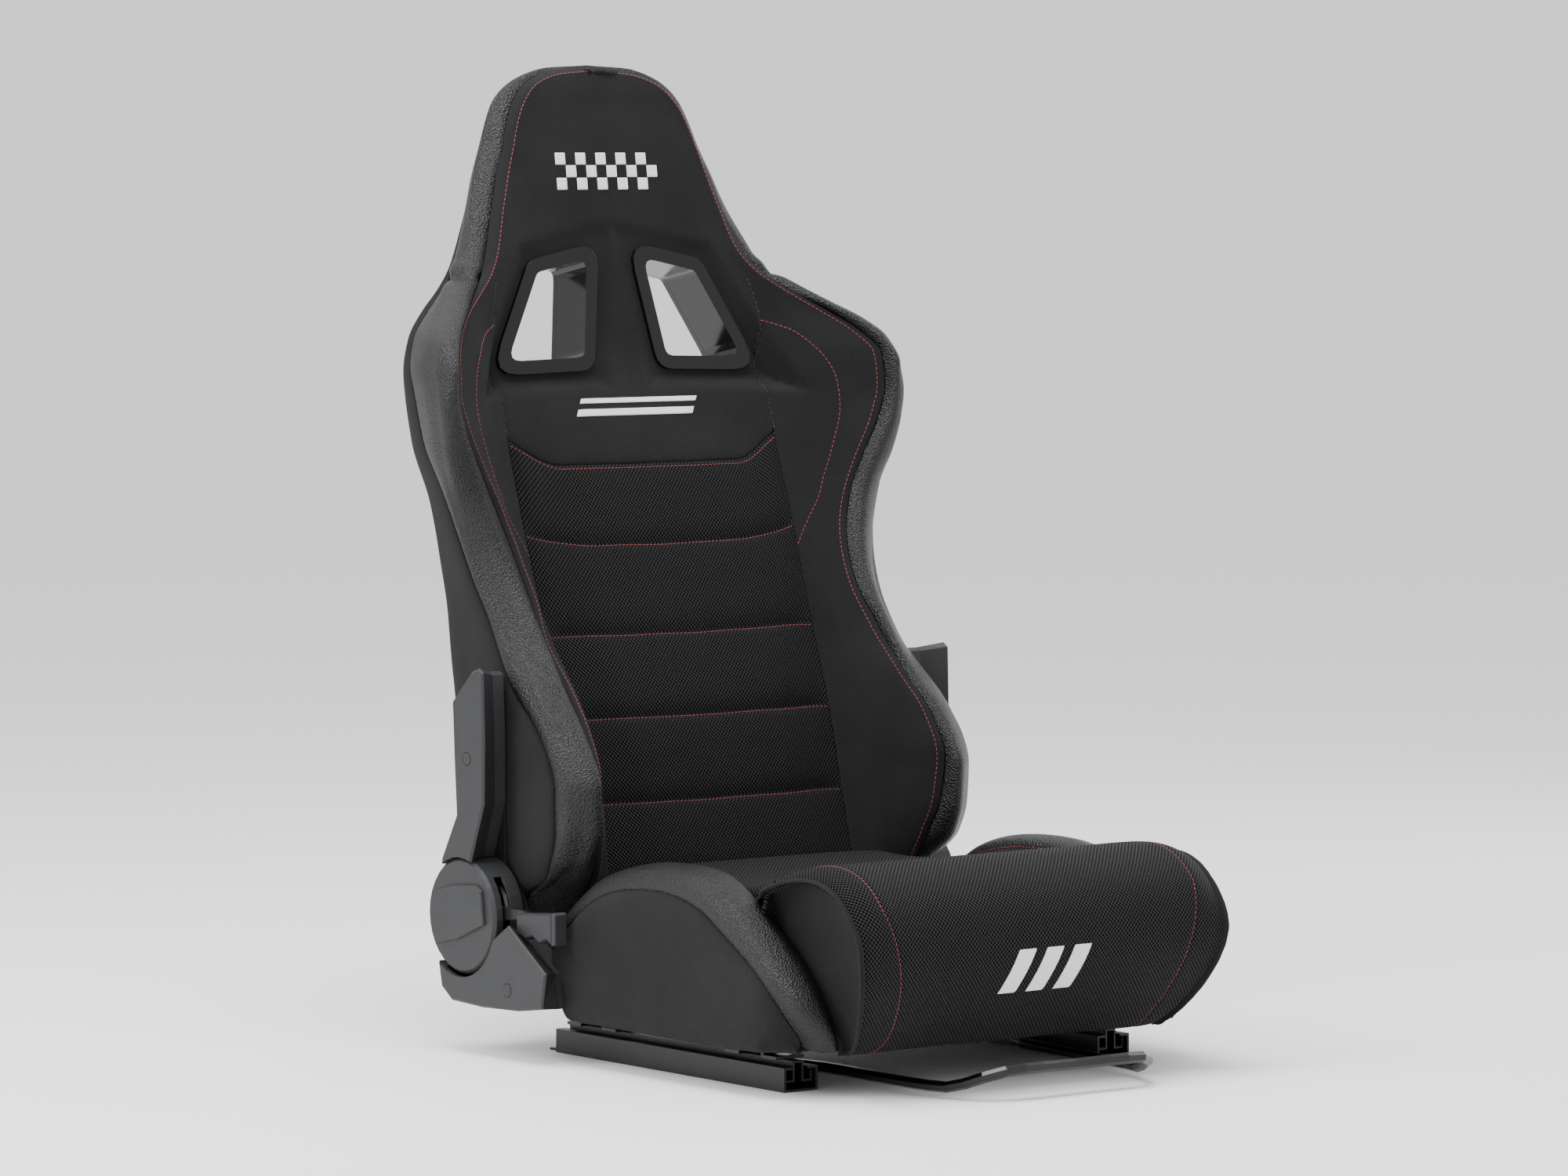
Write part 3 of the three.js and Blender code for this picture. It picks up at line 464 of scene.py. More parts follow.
def pillow(distance, depth, reach):
    """How far a cover is pulled in at a seam, by distance from it."""
    return -depth * np.exp(-(np.maximum(distance, 0) / reach) ** 1.15)


def puckers(distance, along, grid, size, reach, seed):
    """Small gathers that run square to a seam."""
    beat = np.sin(2 * math.pi * along / 9.0 + 5 * wobble(grid, 23.0, seed))
    return size * beat * np.exp(-distance / reach) * (0.6 + 0.4 * wobble(grid, 15.0, seed + 7))


# ---- the backrest's skin ----
# Each station is a line that runs up the backrest: rows of (height key, x, y), where the key is z,
# or over the top of the head (key, x, y, z). Keys run from 112 to TOP on every station.
TOP = 983.0


def station(rows):
    return curve([r if len(r) == 4 else (*r, r[0]) for r in rows])


CENTRE = station([
    (112, 0, 66), (150, 0, 76), (226, 0, 102), (304, 0, 127), (381, 0, 156), (472, 0, 188), (538, 0, 210),
    (600, 0, 236), (626, 0, 247), (680, 0, 259), (748, 0, 271), (812, 0, 280), (840, 0, 284),
    (861, 0, 287, 858), (883, 0, 291, 876), (912, 0, 295, 893), (943, 0, 299, 904), (TOP, 0, 303, 912)])
SEAM = station([
    (112, 141, 66), (150, 144, 77), (226, 148, 102), (304, 152, 127), (381, 155.7, 158), (472, 158.6, 190),
    (563.7, 158, 220.6), (620, 158, 234), (671.5, 157.2, 243), (714, 148, 254), (745, 128, 264),
    (780, 112, 273), (840, 94, 283),
    (861, 88, 286.5, 859), (883, 78, 290.5, 878), (912, 59, 295.5, 898), (943, 33, 299.5, 908),
    (TOP, 0, 303, 912)])
STITCH = station([
    (112, 178, 66), (150, 183, 48), (186, 188, 30), (220, 194, 19.5), (260, 198, 18), (300, 197, 36.5),
    (340, 192.5, 73), (380, 191, 112), (420, 186, 138), (460, 190, 158), (500, 201, 169), (540, 219, 172),
    (580, 238, 171), (610, 246, 171.5), (640, 244.5, 175), (660, 232, 191), (680, 209, 214), (700, 181, 234),
    (720, 156, 250), (740, 142, 260), (780, 128, 271), (820, 115, 279), (840, 108, 282),
    (861, 101, 286, 860), (883, 91, 290, 880), (912, 70, 296, 900), (943, 40, 300, 909), (TOP, 0, 303, 912)])
CREST = station([
    (112, 198, 78), (150, 208, 56), (186, 213, 14), (215, 212, 3), (250, 212, 1), (300, 212, 28),
    (335, 207, 62), (370, 203, 92), (442, 208, 142), (480, 218, 156), (515, 230, 163), (548, 243, 161),
    (580, 256, 158), (630, 261, 158), (655, 252, 170), (672, 237, 187), (690, 213, 212), (707, 193, 238),
    (725, 170, 258), (745, 156, 268), (780, 141, 282), (812, 131, 290), (840, 120, 298),
    (861, 113, 303, 864), (883, 103, 307, 885), (912, 80, 310, 904.5), (943, 45, 313, 915.5),
    (TOP, 0, 314, 918)])
EDGE = station([
    (112, 214, 100), (150, 222, 78), (186, 222, 24), (215, 224, 14), (250, 226, 12), (300, 230, 42),
    (370, 222, 114), (400, 222, 138), (442, 229, 162), (480, 238, 172), (515, 247, 174), (548, 259, 168),
    (580, 266, 163.5), (604, 269, 163), (630, 268, 170), (655, 259, 178), (672, 243, 193), (688, 223, 220),
    (707, 196, 255), (718, 180, 270), (745, 163, 276), (780, 149, 292), (812, 138, 303), (840, 127, 308),
    (861, 118, 312, 864), (883, 107, 315, 884), (912, 84, 317, 902), (943, 47, 319, 913),
    (TOP, 0, 320, 916)])
REAR_SEAM = station([
    (112, 222, 126), (150, 228, 92), (161, 234, 60), (184, 240, 41.5), (214, 242, 32), (250, 243, 31.6),
    (278, 243, 41.6), (305, 240, 66), (339, 236, 109), (399, 234, 148), (437, 238, 169), (523, 252, 201),
    (562, 258, 219), (624, 262, 234), (660, 246, 254), (686, 214, 275), (705, 190, 285), (724, 172, 296),
    (762, 150, 311), (815, 130, 320), (840, 121, 322),
    (861, 113, 324, 857), (883, 102, 326, 875), (912, 80, 327, 892), (943, 45, 328, 903),
    (TOP, 0, 328, 906)])
REAR_CORNER = station([
    (112, 220, 132), (150, 224, 150), (200, 226, 180), (250, 224, 200), (300, 220, 216), (343, 216, 229),
    (402, 215, 239), (461, 219, 247), (505, 226, 250), (563, 238, 262), (622, 245, 264), (660, 236, 266),
    (686, 206, 286), (705, 182, 296), (724, 162, 305), (762, 140, 318), (815, 118, 328), (840, 108, 331),
    (861, 101, 332, 853), (883, 91, 333, 869), (912, 71, 334, 884), (943, 39, 335, 894),
    (TOP, 0, 335, 897)])
REAR = station([
    (112, 0, 150), (226, 0, 200), (343, 0, 240), (461, 0, 262), (563, 0, 277), (622, 0, 290), (700, 0, 308),
    (760, 0, 324), (812, 0, 334), (840, 0, 337),
    (861, 0, 338, 850), (883, 0, 338.5, 862), (912, 0, 338.5, 874), (943, 0, 338, 886), (TOP, 0, 337, 896)])
WING_FULLNESS = curve([
    (112, 3), (300, 6), (380, 3), (430, -4), (500, -6), (560, -3), (620, 0), (700, 0), (TOP, 0)])
HEAD_FADE = curve([(112, 1), (700, 1), (760, 0.6), (860, 0.2), (TOP, 0)])

STITCH_TO_LEATHER = 7.0             # the leather's seam lies this far outside the red stitches,
HEAD_STITCH_TO_LEATHER = 12.0       # and this far on the head
HEAD_FROM, HEAD_BLEND = 690.0, 40.0


def out_from(a, b, amount):
    """Middle of a and b, moved square to the line between them, away from the backrest."""
    d = b - a
    size = np.maximum(np.linalg.norm(d[..., :2], axis=-1, keepdims=True), TINY)
    side = np.concatenate([d[..., 1:2], -d[..., 0:1], np.zeros_like(size)], axis=-1) / size
    return (a + b) / 2 + side * amount


def section(t):
    """Control points of the backrest's outline at height keys t, and one beyond each end."""
    centre, seam, stitch = CENTRE(t), SEAM(t), STITCH(t)
    crest, edge, rear_seam = CREST(t), EDGE(t), REAR_SEAM(t)
    corner, rear = REAR_CORNER(t), REAR(t)
    flat = centre + (seam - centre) * np.array([0.55, 0.2, 0.3])
    wing = out_from(seam, stitch, WING_FULLNESS(t))
    reach = np.maximum(np.linalg.norm(crest - stitch, axis=-1, keepdims=True), TINY)
    on_head = np.clip((t - HEAD_FROM) / HEAD_BLEND, 0, 1)[..., None]
    seam_at = STITCH_TO_LEATHER + (HEAD_STITCH_TO_LEATHER - STITCH_TO_LEATHER) * on_head
    share = np.minimum(seam_at / reach, 0.6 + 0.25 * on_head)
    leather_edge = stitch + (crest - stitch) * share
    edge = edge + (out_from(crest, rear_seam, 2.0) - (crest + rear_seam) / 2) * HEAD_FADE(t)
    band_side = out_from(edge, rear_seam, 2.5 * HEAD_FADE(t))
    band_front = (edge + band_side) / 2 + (band_side - rear_seam) * 0.04
    side = out_from(rear_seam, corner, 4 * HEAD_FADE(t))
    rear_flat = rear + (corner - rear) * np.array([0.6, 0.15, 0.36])
    return np.stack([flat * MIRROR, centre, flat, seam, wing, stitch, leather_edge, crest, edge,
                     band_front, band_side, rear_seam, side, corner, rear_flat, rear, rear_flat * MIRROR],
                    axis=1)


# Positions of those points, counted from the middle of the front.
S_SEAM, S_STITCH, S_LEATHER = 2.0, 4.0, 5.0
S_REAR_SEAM, S_CORNER, S_END = 10.0, 12.0, 14.0

# The harness openings (x, z), drawn on the sloping plane of their rims.
OPENING = [(17.5, 748.5), (37.7, 625.7), (161, 622.3), (102, 730.8)]
RIM_Y, RIM_Z, RIM_SLOPE = 250.0, 625.7, 0.183
RIM_CLEARANCE = 1.5             # the cloth lies this far behind the rim's plane
RIM_HOLD, RIM_FADE = 3.4, 17.0  # it keeps to the plane this far out, and leaves it over this much more
CUT_INSET, CUT_RADIUS = 5.0, 16.0
CUT_FRONT, CUT_REAR, CUT_CORNER_POINTS = -40, 120, 7


def rim_plane(z):
    return RIM_Y + RIM_SLOPE * (z - RIM_Z)


def outside_opening(x, z):
    """Distance in front view from the opening's outline, negative inside it."""
    x = np.abs(x)
    best = np.full(x.shape, -np.inf)
    for (x0, z0), (x1, z1) in zip(OPENING, OPENING[1:] + OPENING[:1]):
        dx, dz = x1 - x0, z1 - z0
        d = ((x - x0) * dz - (z - z0) * dx) / math.hypot(dx, dz)
        best = np.maximum(best, d)
    return best


def skin(t, s):
    """Points of the backrest's outline for grids of height key and section position (signed)."""
    if np.allclose(t, t[:, :1]):
        points = spline(section(t[:, 0]), np.abs(s))
    else:
        points = np.empty(t.shape + (3,))
        for j in range(t.shape[1]):
            points[:, j] = spline(section(t[:, j]), np.abs(s[:, j:j + 1]))[:, 0]
    points[..., 0] *= np.where(s < 0, -1, 1)
    front = np.abs(s) <= S_STITCH
    away = outside_opening(points[..., 0], points[..., 2])
    pull = ease(np.clip(1 + (RIM_HOLD - away) / RIM_FADE, 0, 1)) * front
    points[..., 1] += pull * (rim_plane(points[..., 2]) + RIM_CLEARANCE - points[..., 1])
    return points


def inset_outline(outline, inset):
    """A closed outline with each side moved inwards."""
    ways, starts = [], []
    for here, ahead in zip(outline, outline[1:] + outline[:1]):
        way = (ahead - here) / np.linalg.norm(ahead - here)
        ways.append(way)
        starts.append(here + inset * np.array((-way[1], way[0])))
    points = []
    for i, here in enumerate(ways):
        before = ways[i - 1]
        gap = starts[i] - starts[i - 1]
        step = (gap[0] * here[1] - gap[1] * here[0]) / (before[0] * here[1] - before[1] * here[0])
        points.append(starts[i - 1] + before * step)
    return points


def rounded_outline(outline, radius):
    """A closed outline with each corner bent along a curve that suits the radius."""
    points = []
    for i, corner in enumerate(outline):
        back = outline[i - 1] - corner
        ahead = outline[(i + 1) % len(outline)] - corner
        back, ahead = back / np.linalg.norm(back), ahead / np.linalg.norm(ahead)
        reach = radius / math.tan(math.acos(float(back @ ahead)) / 2)
        for w in np.linspace(0, 1, CUT_CORNER_POINTS):
            bend = (1 - w) ** 2 * (corner + back * reach) + w * w * (corner + ahead * reach)
            points.append(bend + 2 * w * (1 - w) * corner)
    return points


def opening_cutter(name, side):
    """A prism through the backrest along a harness opening, to cut the covers with."""
    tilt = math.atan(RIM_SLOPE)
    flat = [np.array((x, (z - RIM_Z) / math.cos(tilt))) for x, z in OPENING]
    outline = rounded_outline(inset_outline(flat, CUT_INSET), CUT_RADIUS)
    ring = []
    for depth in (CUT_FRONT, CUT_REAR):
        for x, w in outline:
            ring.append((side * x, RIM_Y + w * math.sin(tilt) + depth * math.cos(tilt),
                         RIM_Z + w * math.cos(tilt) - depth * math.sin(tilt)))
    m = len(outline)
    faces = [tuple(range(m)), tuple(range(2 * m - 1, m - 1, -1))]
    faces += [(i, m + i, m + (i + 1) % m, (i + 1) % m) for i in range(m)]
    mesh = bpy.data.meshes.new(name)
    mesh.from_pydata([in_frame(v) for v in ring], [], faces)
    facing = bmesh.new()
    facing.from_mesh(mesh)
    bmesh.ops.recalc_face_normals(facing, faces=facing.faces)
    facing.to_mesh(mesh)
    facing.free()
    cutter = bpy.data.objects.new(name, mesh)
    bpy.context.scene.collection.objects.link(cutter)
    return cutter


def grid_of(t_low, t_high, columns, rows):
    """Height keys and section positions of a panel; its lower limit may vary across it."""
    v = np.linspace(0, 1, rows)[:, None]
    s = columns[None, :] + 0 * v
    low = t_low(s) if callable(t_low) else t_low
    return low + (t_high - low) * v, s


def edge_distances(grid):
    """Distance of each point from the grid's left, right, first and last edges."""
    u, v = arcs(grid, 1), arcs(grid, 0)
    return u, u[:, -1:] - u, v, v[-1:, :] - v


# The five sewn sections of the mesh in the middle, and the V-shaped seam above them.
V_SEAM = curve([(0, 538.2), (1.22, 538.2), (2.0, 563.7)])
CHANNELS = [
    curve([(0, 463), (1.0, 464), (1.5, 468), (2.0, 476)]),
    curve([(0, 379), (2.0, 381.5)]),
    curve([(0, 303), (2.0, 304.5)]),
    curve([(0, 225), (2.0, 226.5)]),
    curve([(0, 152), (2.0, 153)]),
]
FOOT_LINE = curve([(0, 113), (2.0, 113)])
PANEL_COLUMNS, SECTION_ROWS = 120, 30
SECTION_DOME, SECTION_LIP = 5.2, 1.8    # how far a section bulges, and its fuller upper edge
SECTION_CROWD = 0.055                   # rows crowd towards the seams by this share
LIP_WIDTH, LIP_DROP = 0.13, 0.02        # shares of a section's height
PANEL_SINK = 1.6                        # the mesh lies this far under the cloth round it


def level(line):
    return lambda s: line(np.abs(s))[..., 0]


def centre_panel():
    """Mesh panel with sewn channels, as one grid whose rows follow the seams."""
    limits = [level(line) for line in [FOOT_LINE] + CHANNELS[::-1] + [V_SEAM]]
    s = np.linspace(-S_SEAM, S_SEAM, PANEL_COLUMNS)[None, :]
    keys, bulges = [], []
    for low, high in zip(limits, limits[1:]):
        for i in range(SECTION_ROWS):
            w = i / SECTION_ROWS
            eased = w - SECTION_CROWD * math.sin(2 * math.pi * w)
            keys.append(low(s) + (high(s) - low(s)) * eased)
            dome = 1 - abs(2 * eased - 1) ** 4
            lip = math.exp(-((1 - eased) / LIP_WIDTH) ** 2) * (1 - math.exp(-((1 - eased) / LIP_DROP)))
            bulges.append(SECTION_DOME * dome + SECTION_LIP * lip)
    keys.append(limits[-1](s))
    bulges.append(0.0)
    t = np.concatenate(keys, axis=0)
    s = np.broadcast_to(s, t.shape)
    grid = skin(t, s)
    out = normals(grid)
    left, right, _, _ = edge_distances(grid)
    side = np.minimum(left, right)
    fade = 1 - np.exp(-(side / 9.0) ** 1.3)
    height = np.array(bulges)[:, None] * fade + 0.9 * wobble(grid, 55.0, 3.0) * fade
    off_seam = np.array([min(b, 3.0) / 3.0 for b in bulges])[:, None]
    height = height + puckers(6 * off_seam, left, grid, 0.45, 5.0, 11.0) * (1 - off_seam)
    return grid + out * (height - PANEL_SINK)[..., None]


NECK, NECK_SEAM_Z = 714.0, 719.0        # key where chest and headrest meet, and the leather's fold
NECK_FADE, TOP_FADE = 26.0, 60.0
GATHER_REACH = 7.0


def neck_fold(grid, from_front):
    """A folded seam that runs round the leather at the neck, a little higher towards the rear."""
    above = grid[..., 2] - NECK_SEAM_Z + 5.0 * np.clip(from_front / 60.0, 0, 1)
    return 1.6 * np.exp(-((above - 9.0) / 6.0) ** 2) - 3.4 * np.exp(-(above / 3.2) ** 2)


def crown(left, right, swell):
    """A panel's fullness between its left and right edges."""
    w = left / np.maximum(left + right, TINY)
    return swell * np.clip(np.sin(math.pi * w), 0, 1) ** 0.8


def back_panel(t, s, depth=2.4, reach=5.0, seed=0.0, sides="lr", gathers=0.25, swell=0.0, fading=""):
    """A panel of the backrest, drawn in at its sewn sides; the fading ones run out below the neck."""
    grid = skin(t, s)
    out = normals(grid)
    left, right, low, _ = edge_distances(grid)
    height = np.zeros(t.shape)
    below_neck = np.clip((NECK - t) / NECK_FADE, 0, 1)
    for key, distance, along in (("l", left, low), ("r", right, low), ("b", low, left)):
        if key in sides:
            held = below_neck if key in fading else 1.0
            height = height + held * pillow(distance, depth, reach)
            height = height + held * puckers(distance, along, grid, gathers, GATHER_REACH, seed)
    if swell:
        height = height + crown(left, right, swell) + neck_fold(grid, left)
    height = (height + 0.5 * wobble(grid, 70.0, seed + 1)) * np.clip((TOP - t) / TOP_FADE, 0, 1)
    return grid + out * height[..., None]


cutters = [opening_cutter(f"cut_{word}", side) for side, word in SIDES]

mesh_panel = cover("back_centre_mesh", centre_panel(), "spacer_mesh", BACK, thickness=4.0)
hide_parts("backrest_pad")

# The chest, both wings and the headrest are one cloth, so their columns meet at the neck.
BOLSTER_FOOT = 124.0
CLOTH = {"depth": 1.8, "seed": 20.0}
chest_s = np.linspace(-S_SEAM, S_SEAM, 120)
wing_s = np.linspace(S_SEAM, S_LEATHER, 40)
head_s = np.concatenate([-wing_s[:0:-1], chest_s, wing_s[1:]])
front_cloth = [
    back_panel(*grid_of(level(V_SEAM), NECK, chest_s, 60), sides="lrb", fading="lr", gathers=0.15,
               **CLOTH),
    back_panel(*grid_of(BOLSTER_FOOT, NECK, wing_s, 170), fading="l", **CLOTH),
    back_panel(*grid_of(BOLSTER_FOOT, NECK, -wing_s[::-1], 170), fading="r", **CLOTH),
    back_panel(*grid_of(NECK, TOP, head_s, 84), **CLOTH)]
head = cover("front_fabric", front_cloth, "woven_fabric", BACK, cutters=cutters)
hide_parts("headrest_pad")

for side, word in SIDES:
    t, s = grid_of(BOLSTER_FOOT, TOP, np.linspace(S_LEATHER, S_REAR_SEAM, 44), 270)
    panel = back_panel(t, s, depth=2.6, reach=4.5, seed=50.0 + side, gathers=0.4, swell=1.5)
    band = cover(f"leather_band_{word}", panel, "leather", BACK, mirror=side < 0)
    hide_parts(f"side_bolster_{word}")
    t, s = grid_of(BOLSTER_FOOT, TOP, np.linspace(S_REAR_SEAM, S_CORNER, 24), 210)
    panel = back_panel(t, s, sides="l", depth=2.0, seed=60.0 + side)
    cover(f"side_fabric_{word}", panel, "woven_fabric", BACK, mirror=side < 0)

REAR_CROSS_SEAM_Z = 560.0


def rear_panel():
    """The flat back of the shell, with a seam all round and one across."""
    half = skin(*grid_of(BOLSTER_FOOT, TOP, np.linspace(S_CORNER, S_END, 50), 190))
    grid = np.concatenate([half, (half * MIRROR)[:, -2::-1]], axis=1)
    left, right, _, _ = edge_distances(grid)
    cross_seam = np.exp(-(np.abs(grid[..., 2] - REAR_CROSS_SEAM_Z) / 4.0) ** 1.3)
    height = pillow(np.minimum(left, right), 2.2, 5.0) - 1.8 * cross_seam + 0.8 * wobble(grid, 80.0, 70.0)
    return grid + normals(grid) * height[..., None]


rear_cover = cover("rear_cover", rear_panel(), "woven_fabric", BACK, cutters=cutters)
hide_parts("backrest_rear_panel")

for cutter in cutters:
    bpy.data.objects.remove(cutter)

FOOT_CORE = np.array([150.0, 140.0, 146.0])     # the underside draws in towards this point


def backrest_foot():
    """The underside of one half of the backrest, below its lowest rows."""
    rim = spline(section(np.array([BOLSTER_FOOT])), np.linspace(S_SEAM, S_END, 60)[None, :])[0]
    shrink = np.array([0.0, 0.06, 0.16, 0.35, 0.65, 0.9])
    drop = np.array([0.0, 4.0, 7.0, 8.0, 8.0, 8.0])
    grid = rim[None] + (FOOT_CORE - rim)[None] * shrink[:, None, None]
    grid[..., 2] = rim[None, :, 2] - drop[:, None]
    return grid[::-1]


for side, word in SIDES:
    cover(f"backrest_foot_{word}", backrest_foot(), "woven_fabric", BACK, thickness=2.0, mirror=side < 0)


# ---- cushion ----
def closed_outline(points, count):
    """A smooth closed outline through (y, z) points, its outward normals, start point repeated."""
    ring = np.array([(0.0, y, z) for y, z in points])
    looped = np.concatenate([ring[-1:], ring, ring[:2]])[None]
    s = np.linspace(0, len(points), count)[None, :]
    s[0, -1] -= HAIR
    line = spline(looped, s)[0]
    ahead = np.roll(line[:-1], -1, axis=0) - np.roll(line[:-1], 1, axis=0)
    out = np.stack([0 * ahead[:, 0], -ahead[:, 2], ahead[:, 1]], axis=1)
    out /= np.linalg.norm(out, axis=1, keepdims=True)
    area = np.sum(line[:-1, 1] * np.roll(line[:-1, 2], -1) - np.roll(line[:-1, 1], -1) * line[:-1, 2])
    if area > 0:
        out = -out
    return line, np.concatenate([out, out[:1]])


def inset_at(x, half, radius):
    """How far an end rounded to a radius has drawn in at x."""
    over = np.clip(np.abs(x) - (half - radius), 0, radius)
    return radius - np.sqrt(np.maximum(radius * radius - over * over, 0))


ROLL = [(-236, 186), (-262, 197), (-300, 204.5), (-330, 203), (-357, 192), (-376, 174), (-386, 150),
        (-387, 122), (-378, 94), (-360, 66), (-340, 46), (-322, 38), (-306, 44), (-302, 70), (-298, 92),
        (-262, 98), (-234, 104), (-230, 140), (-231, 172)]
SEAT = [(-232, 186), (-205, 180), (-170, 173.5), (-120, 169.5), (-60, 168), (0, 170), (36, 170),
        (52, 162), (57, 146), (54, 116), (46, 99), (0, 96), (-120, 96), (-224, 98), (-234, 110), (-235, 170)]
ROLL_HALF, ROLL_ROUND, ROLL_SEAM, ROLL_REAR = 237.0, 60.0, 212.0, -236
SEAT_HALF, SEAT_ROUND, SEAT_END_GAP, SEAT_FRONT = 190.0, 14.0, 0.02, -234
TOP_SIDE = 150                  # z above which roll and seat are in sight
OUTLINE_ROWS = 150
CUSHION_SEAM_DEPTH = 3.2        # how far roll and seat are drawn in where they meet


def roll_width(z):
    """The roll is narrower towards its foot."""
    return 1 - 0.146 * np.clip((135 - z) / 91, 0, 1) ** 1.6


def roll_stitch_x(z):
    return 181 - 29 * np.clip((175 - z) / 120, 0, 1)


def roll_mesh():
    """The roll's outline between its end seams, drawn in towards them, and the line of one seam."""
    xs = np.linspace(-ROLL_SEAM, ROLL_SEAM, 160)
    line, out = closed_outline(ROLL, OUTLINE_ROWS)
    upper = 0.15 + 0.85 * ease(np.clip((line[:, 2] - 130) / 55, 0, 1))
    draw = inset_at(xs, ROLL_HALF, ROLL_ROUND)[None, :] * upper[:, None]
    grid = line[:, None, :] - out[:, None, :] * draw[..., None]
    grid[..., 0] = xs[None, :] * roll_width(grid[..., 2])
    seam = grid[:, -1].copy()
    to_seam = ROLL_SEAM - np.abs(xs)[None, :] + 0 * grid[..., 0]
    from_stitch = np.abs(np.abs(grid[..., 0]) - roll_stitch_x(grid[..., 2]))
    height = pillow(to_seam, 2.2, 5.0) - 0.9 * np.exp(-(from_stitch / 2.2) ** 2)
    height = height + 0.9 * wobble(grid, 75.0, 5.0)
    behind = 1 - np.clip((ROLL_REAR - line[:, 1]) / 12, 0, 1)[:, None]
    height = height - CUSHION_SEAM_DEPTH * behind * (line[:, 2] > TOP_SIDE)[:, None]
    return grid + out[:, None, :] * height[..., None], seam


roll_grid, roll_edge = roll_mesh()
roll = cover("cushion_roll_mesh", roll_grid[::-1], "spacer_mesh", CARRIAGE, thickness=4.0)
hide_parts("cushion_pad")


def seat_width(y):
    """The seat's middle narrows at the rear, where the back's bolsters come down."""
    return 1 - 0.235 * ease(np.clip((y + 62) / 50, 0, 1))


def seat_mesh():
    """The seat's crowned middle behind the roll."""
    end = SEAT_HALF - SEAT_END_GAP
    xs = np.linspace(-end, end, 120)
    line, out = closed_outline(SEAT, OUTLINE_ROWS)
    draw = inset_at(xs, SEAT_HALF, SEAT_ROUND)
    grid = line[:, None, :] - out[:, None, :] * draw[None, :, None]
    grid[..., 0] = xs[None, :] * seat_width(grid[..., 1])
    height = 0.9 * wobble(grid, 75.0, 15.0) + 3.0 * (1 - (np.abs(xs) / SEAT_HALF) ** 4)[None, :]
    top_side = (line[:, 2] > TOP_SIDE)[:, None]
    from_roll = np.abs(line[:, 1] - SEAT_FRONT)
    height = height * top_side - CUSHION_SEAM_DEPTH * np.exp(-from_roll / 6)[:, None] * top_side
    return grid + out[:, None, :] * height[..., None]


seat = cover("cushion_centre_mesh", seat_mesh(), "spacer_mesh", CARRIAGE, thickness=4.0)

# Thigh bolsters: lines (x, y, z) from the rear, over the top, to the front foot.
THIGH_INNER = [(192, 30, 112), (192, 12, 134), (192, -12, 152), (192, -42, 169), (192, -85, 180),
               (192, -140, 184), (192, -177, 182), (192, -209, 167), (192, -246, 143), (192, -283, 116),
               (191, -308, 88), (187, -319, 63), (184, -321, 44)]
THIGH_CREST = [(219, 34, 114), (219, 18, 138), (219, -4, 156), (219, -38, 177), (219, -80, 189),
               (219, -140, 193.5), (219, -188, 188), (219, -228, 169), (219, -268, 144), (219, -302, 115),
               (216, -322, 88), (206, -329, 60), (199, -325, 44)]
THIGH_OUTER = [(246, 30, 104), (246, 12, 122), (246, -9, 140), (246, -43, 159), (246, -89, 170),
               (246, -151, 171), (246, -190, 162), (246, -228, 142), (246, -264, 121), (244, -292, 98),
               (235, -306, 74), (220, -307, 54), (213, -303, 44)]
THIGH_HEART = np.array([219.0, -150.0, 70.0])
THIGH_FOOT_Z, THIGH_OUTER_X = 42.0, 246.0
SKIRT_REAR_Y, SKIRT_FRONT_Y = 8, -304
THIGH_ROWS = 150


def thigh_sections(count):
    """Control points round the thigh bolster, from its hidden inner foot over the top to its underside."""
    inner, crest, outer = (open_line(line, count) for line in (THIGH_INNER, THIGH_CREST, THIGH_OUTER))
    inner_foot = inner * np.array([1, 1, 0]) + np.array([2, 0, 60.0])
    inner_foot[:, 2] = np.minimum(inner_foot[:, 2], inner[:, 2] - 6)
    inner_mid = (inner + inner_foot) / 2 + np.array([-1.5, 0, 0])
    rise_in = inner * 0.5 + crest * 0.5
    rise_in += (rise_in - THIGH_HEART) * np.array([-0.15, 0.03, 0.04])
    rise_out = crest * 0.5 + outer * 0.5
    rise_out += (rise_out - THIGH_HEART) * np.array([0.3, 0.035, 0.05])
    skirt_y = np.interp(np.arange(count), [0, count - 1], [SKIRT_REAR_Y, SKIRT_FRONT_Y])
    taper = np.clip((-250 - skirt_y) / 54, 0, 1) ** 1.5
    foot = np.stack([THIGH_OUTER_X - 3 - 34 * taper, skirt_y, np.full(count, THIGH_FOOT_Z)], axis=1)
    foot[:, 1] = 0.5 * foot[:, 1] + 0.5 * np.clip(outer[:, 1], SKIRT_FRONT_Y, SKIRT_REAR_Y)
    foot[:, 2] = np.minimum(foot[:, 2], outer[:, 2] - 1)
    skirt = (outer + foot) / 2 + np.array([3.0, 0, 0])
    under = foot * np.array([0, 1, 1]) + np.array([190.0, 0, 1.0])
    return np.stack([2 * inner_foot - inner_mid, inner_foot, inner_mid, inner, rise_in, crest, rise_out,
                     outer, skirt, foot, under, 2 * under - foot], axis=1)


# Positions of those points, counted from the inner foot.
T_INNER_FOOT, T_INNER, T_OUTER, T_UNDER = 0.0, 2.0, 6.0, 9.0


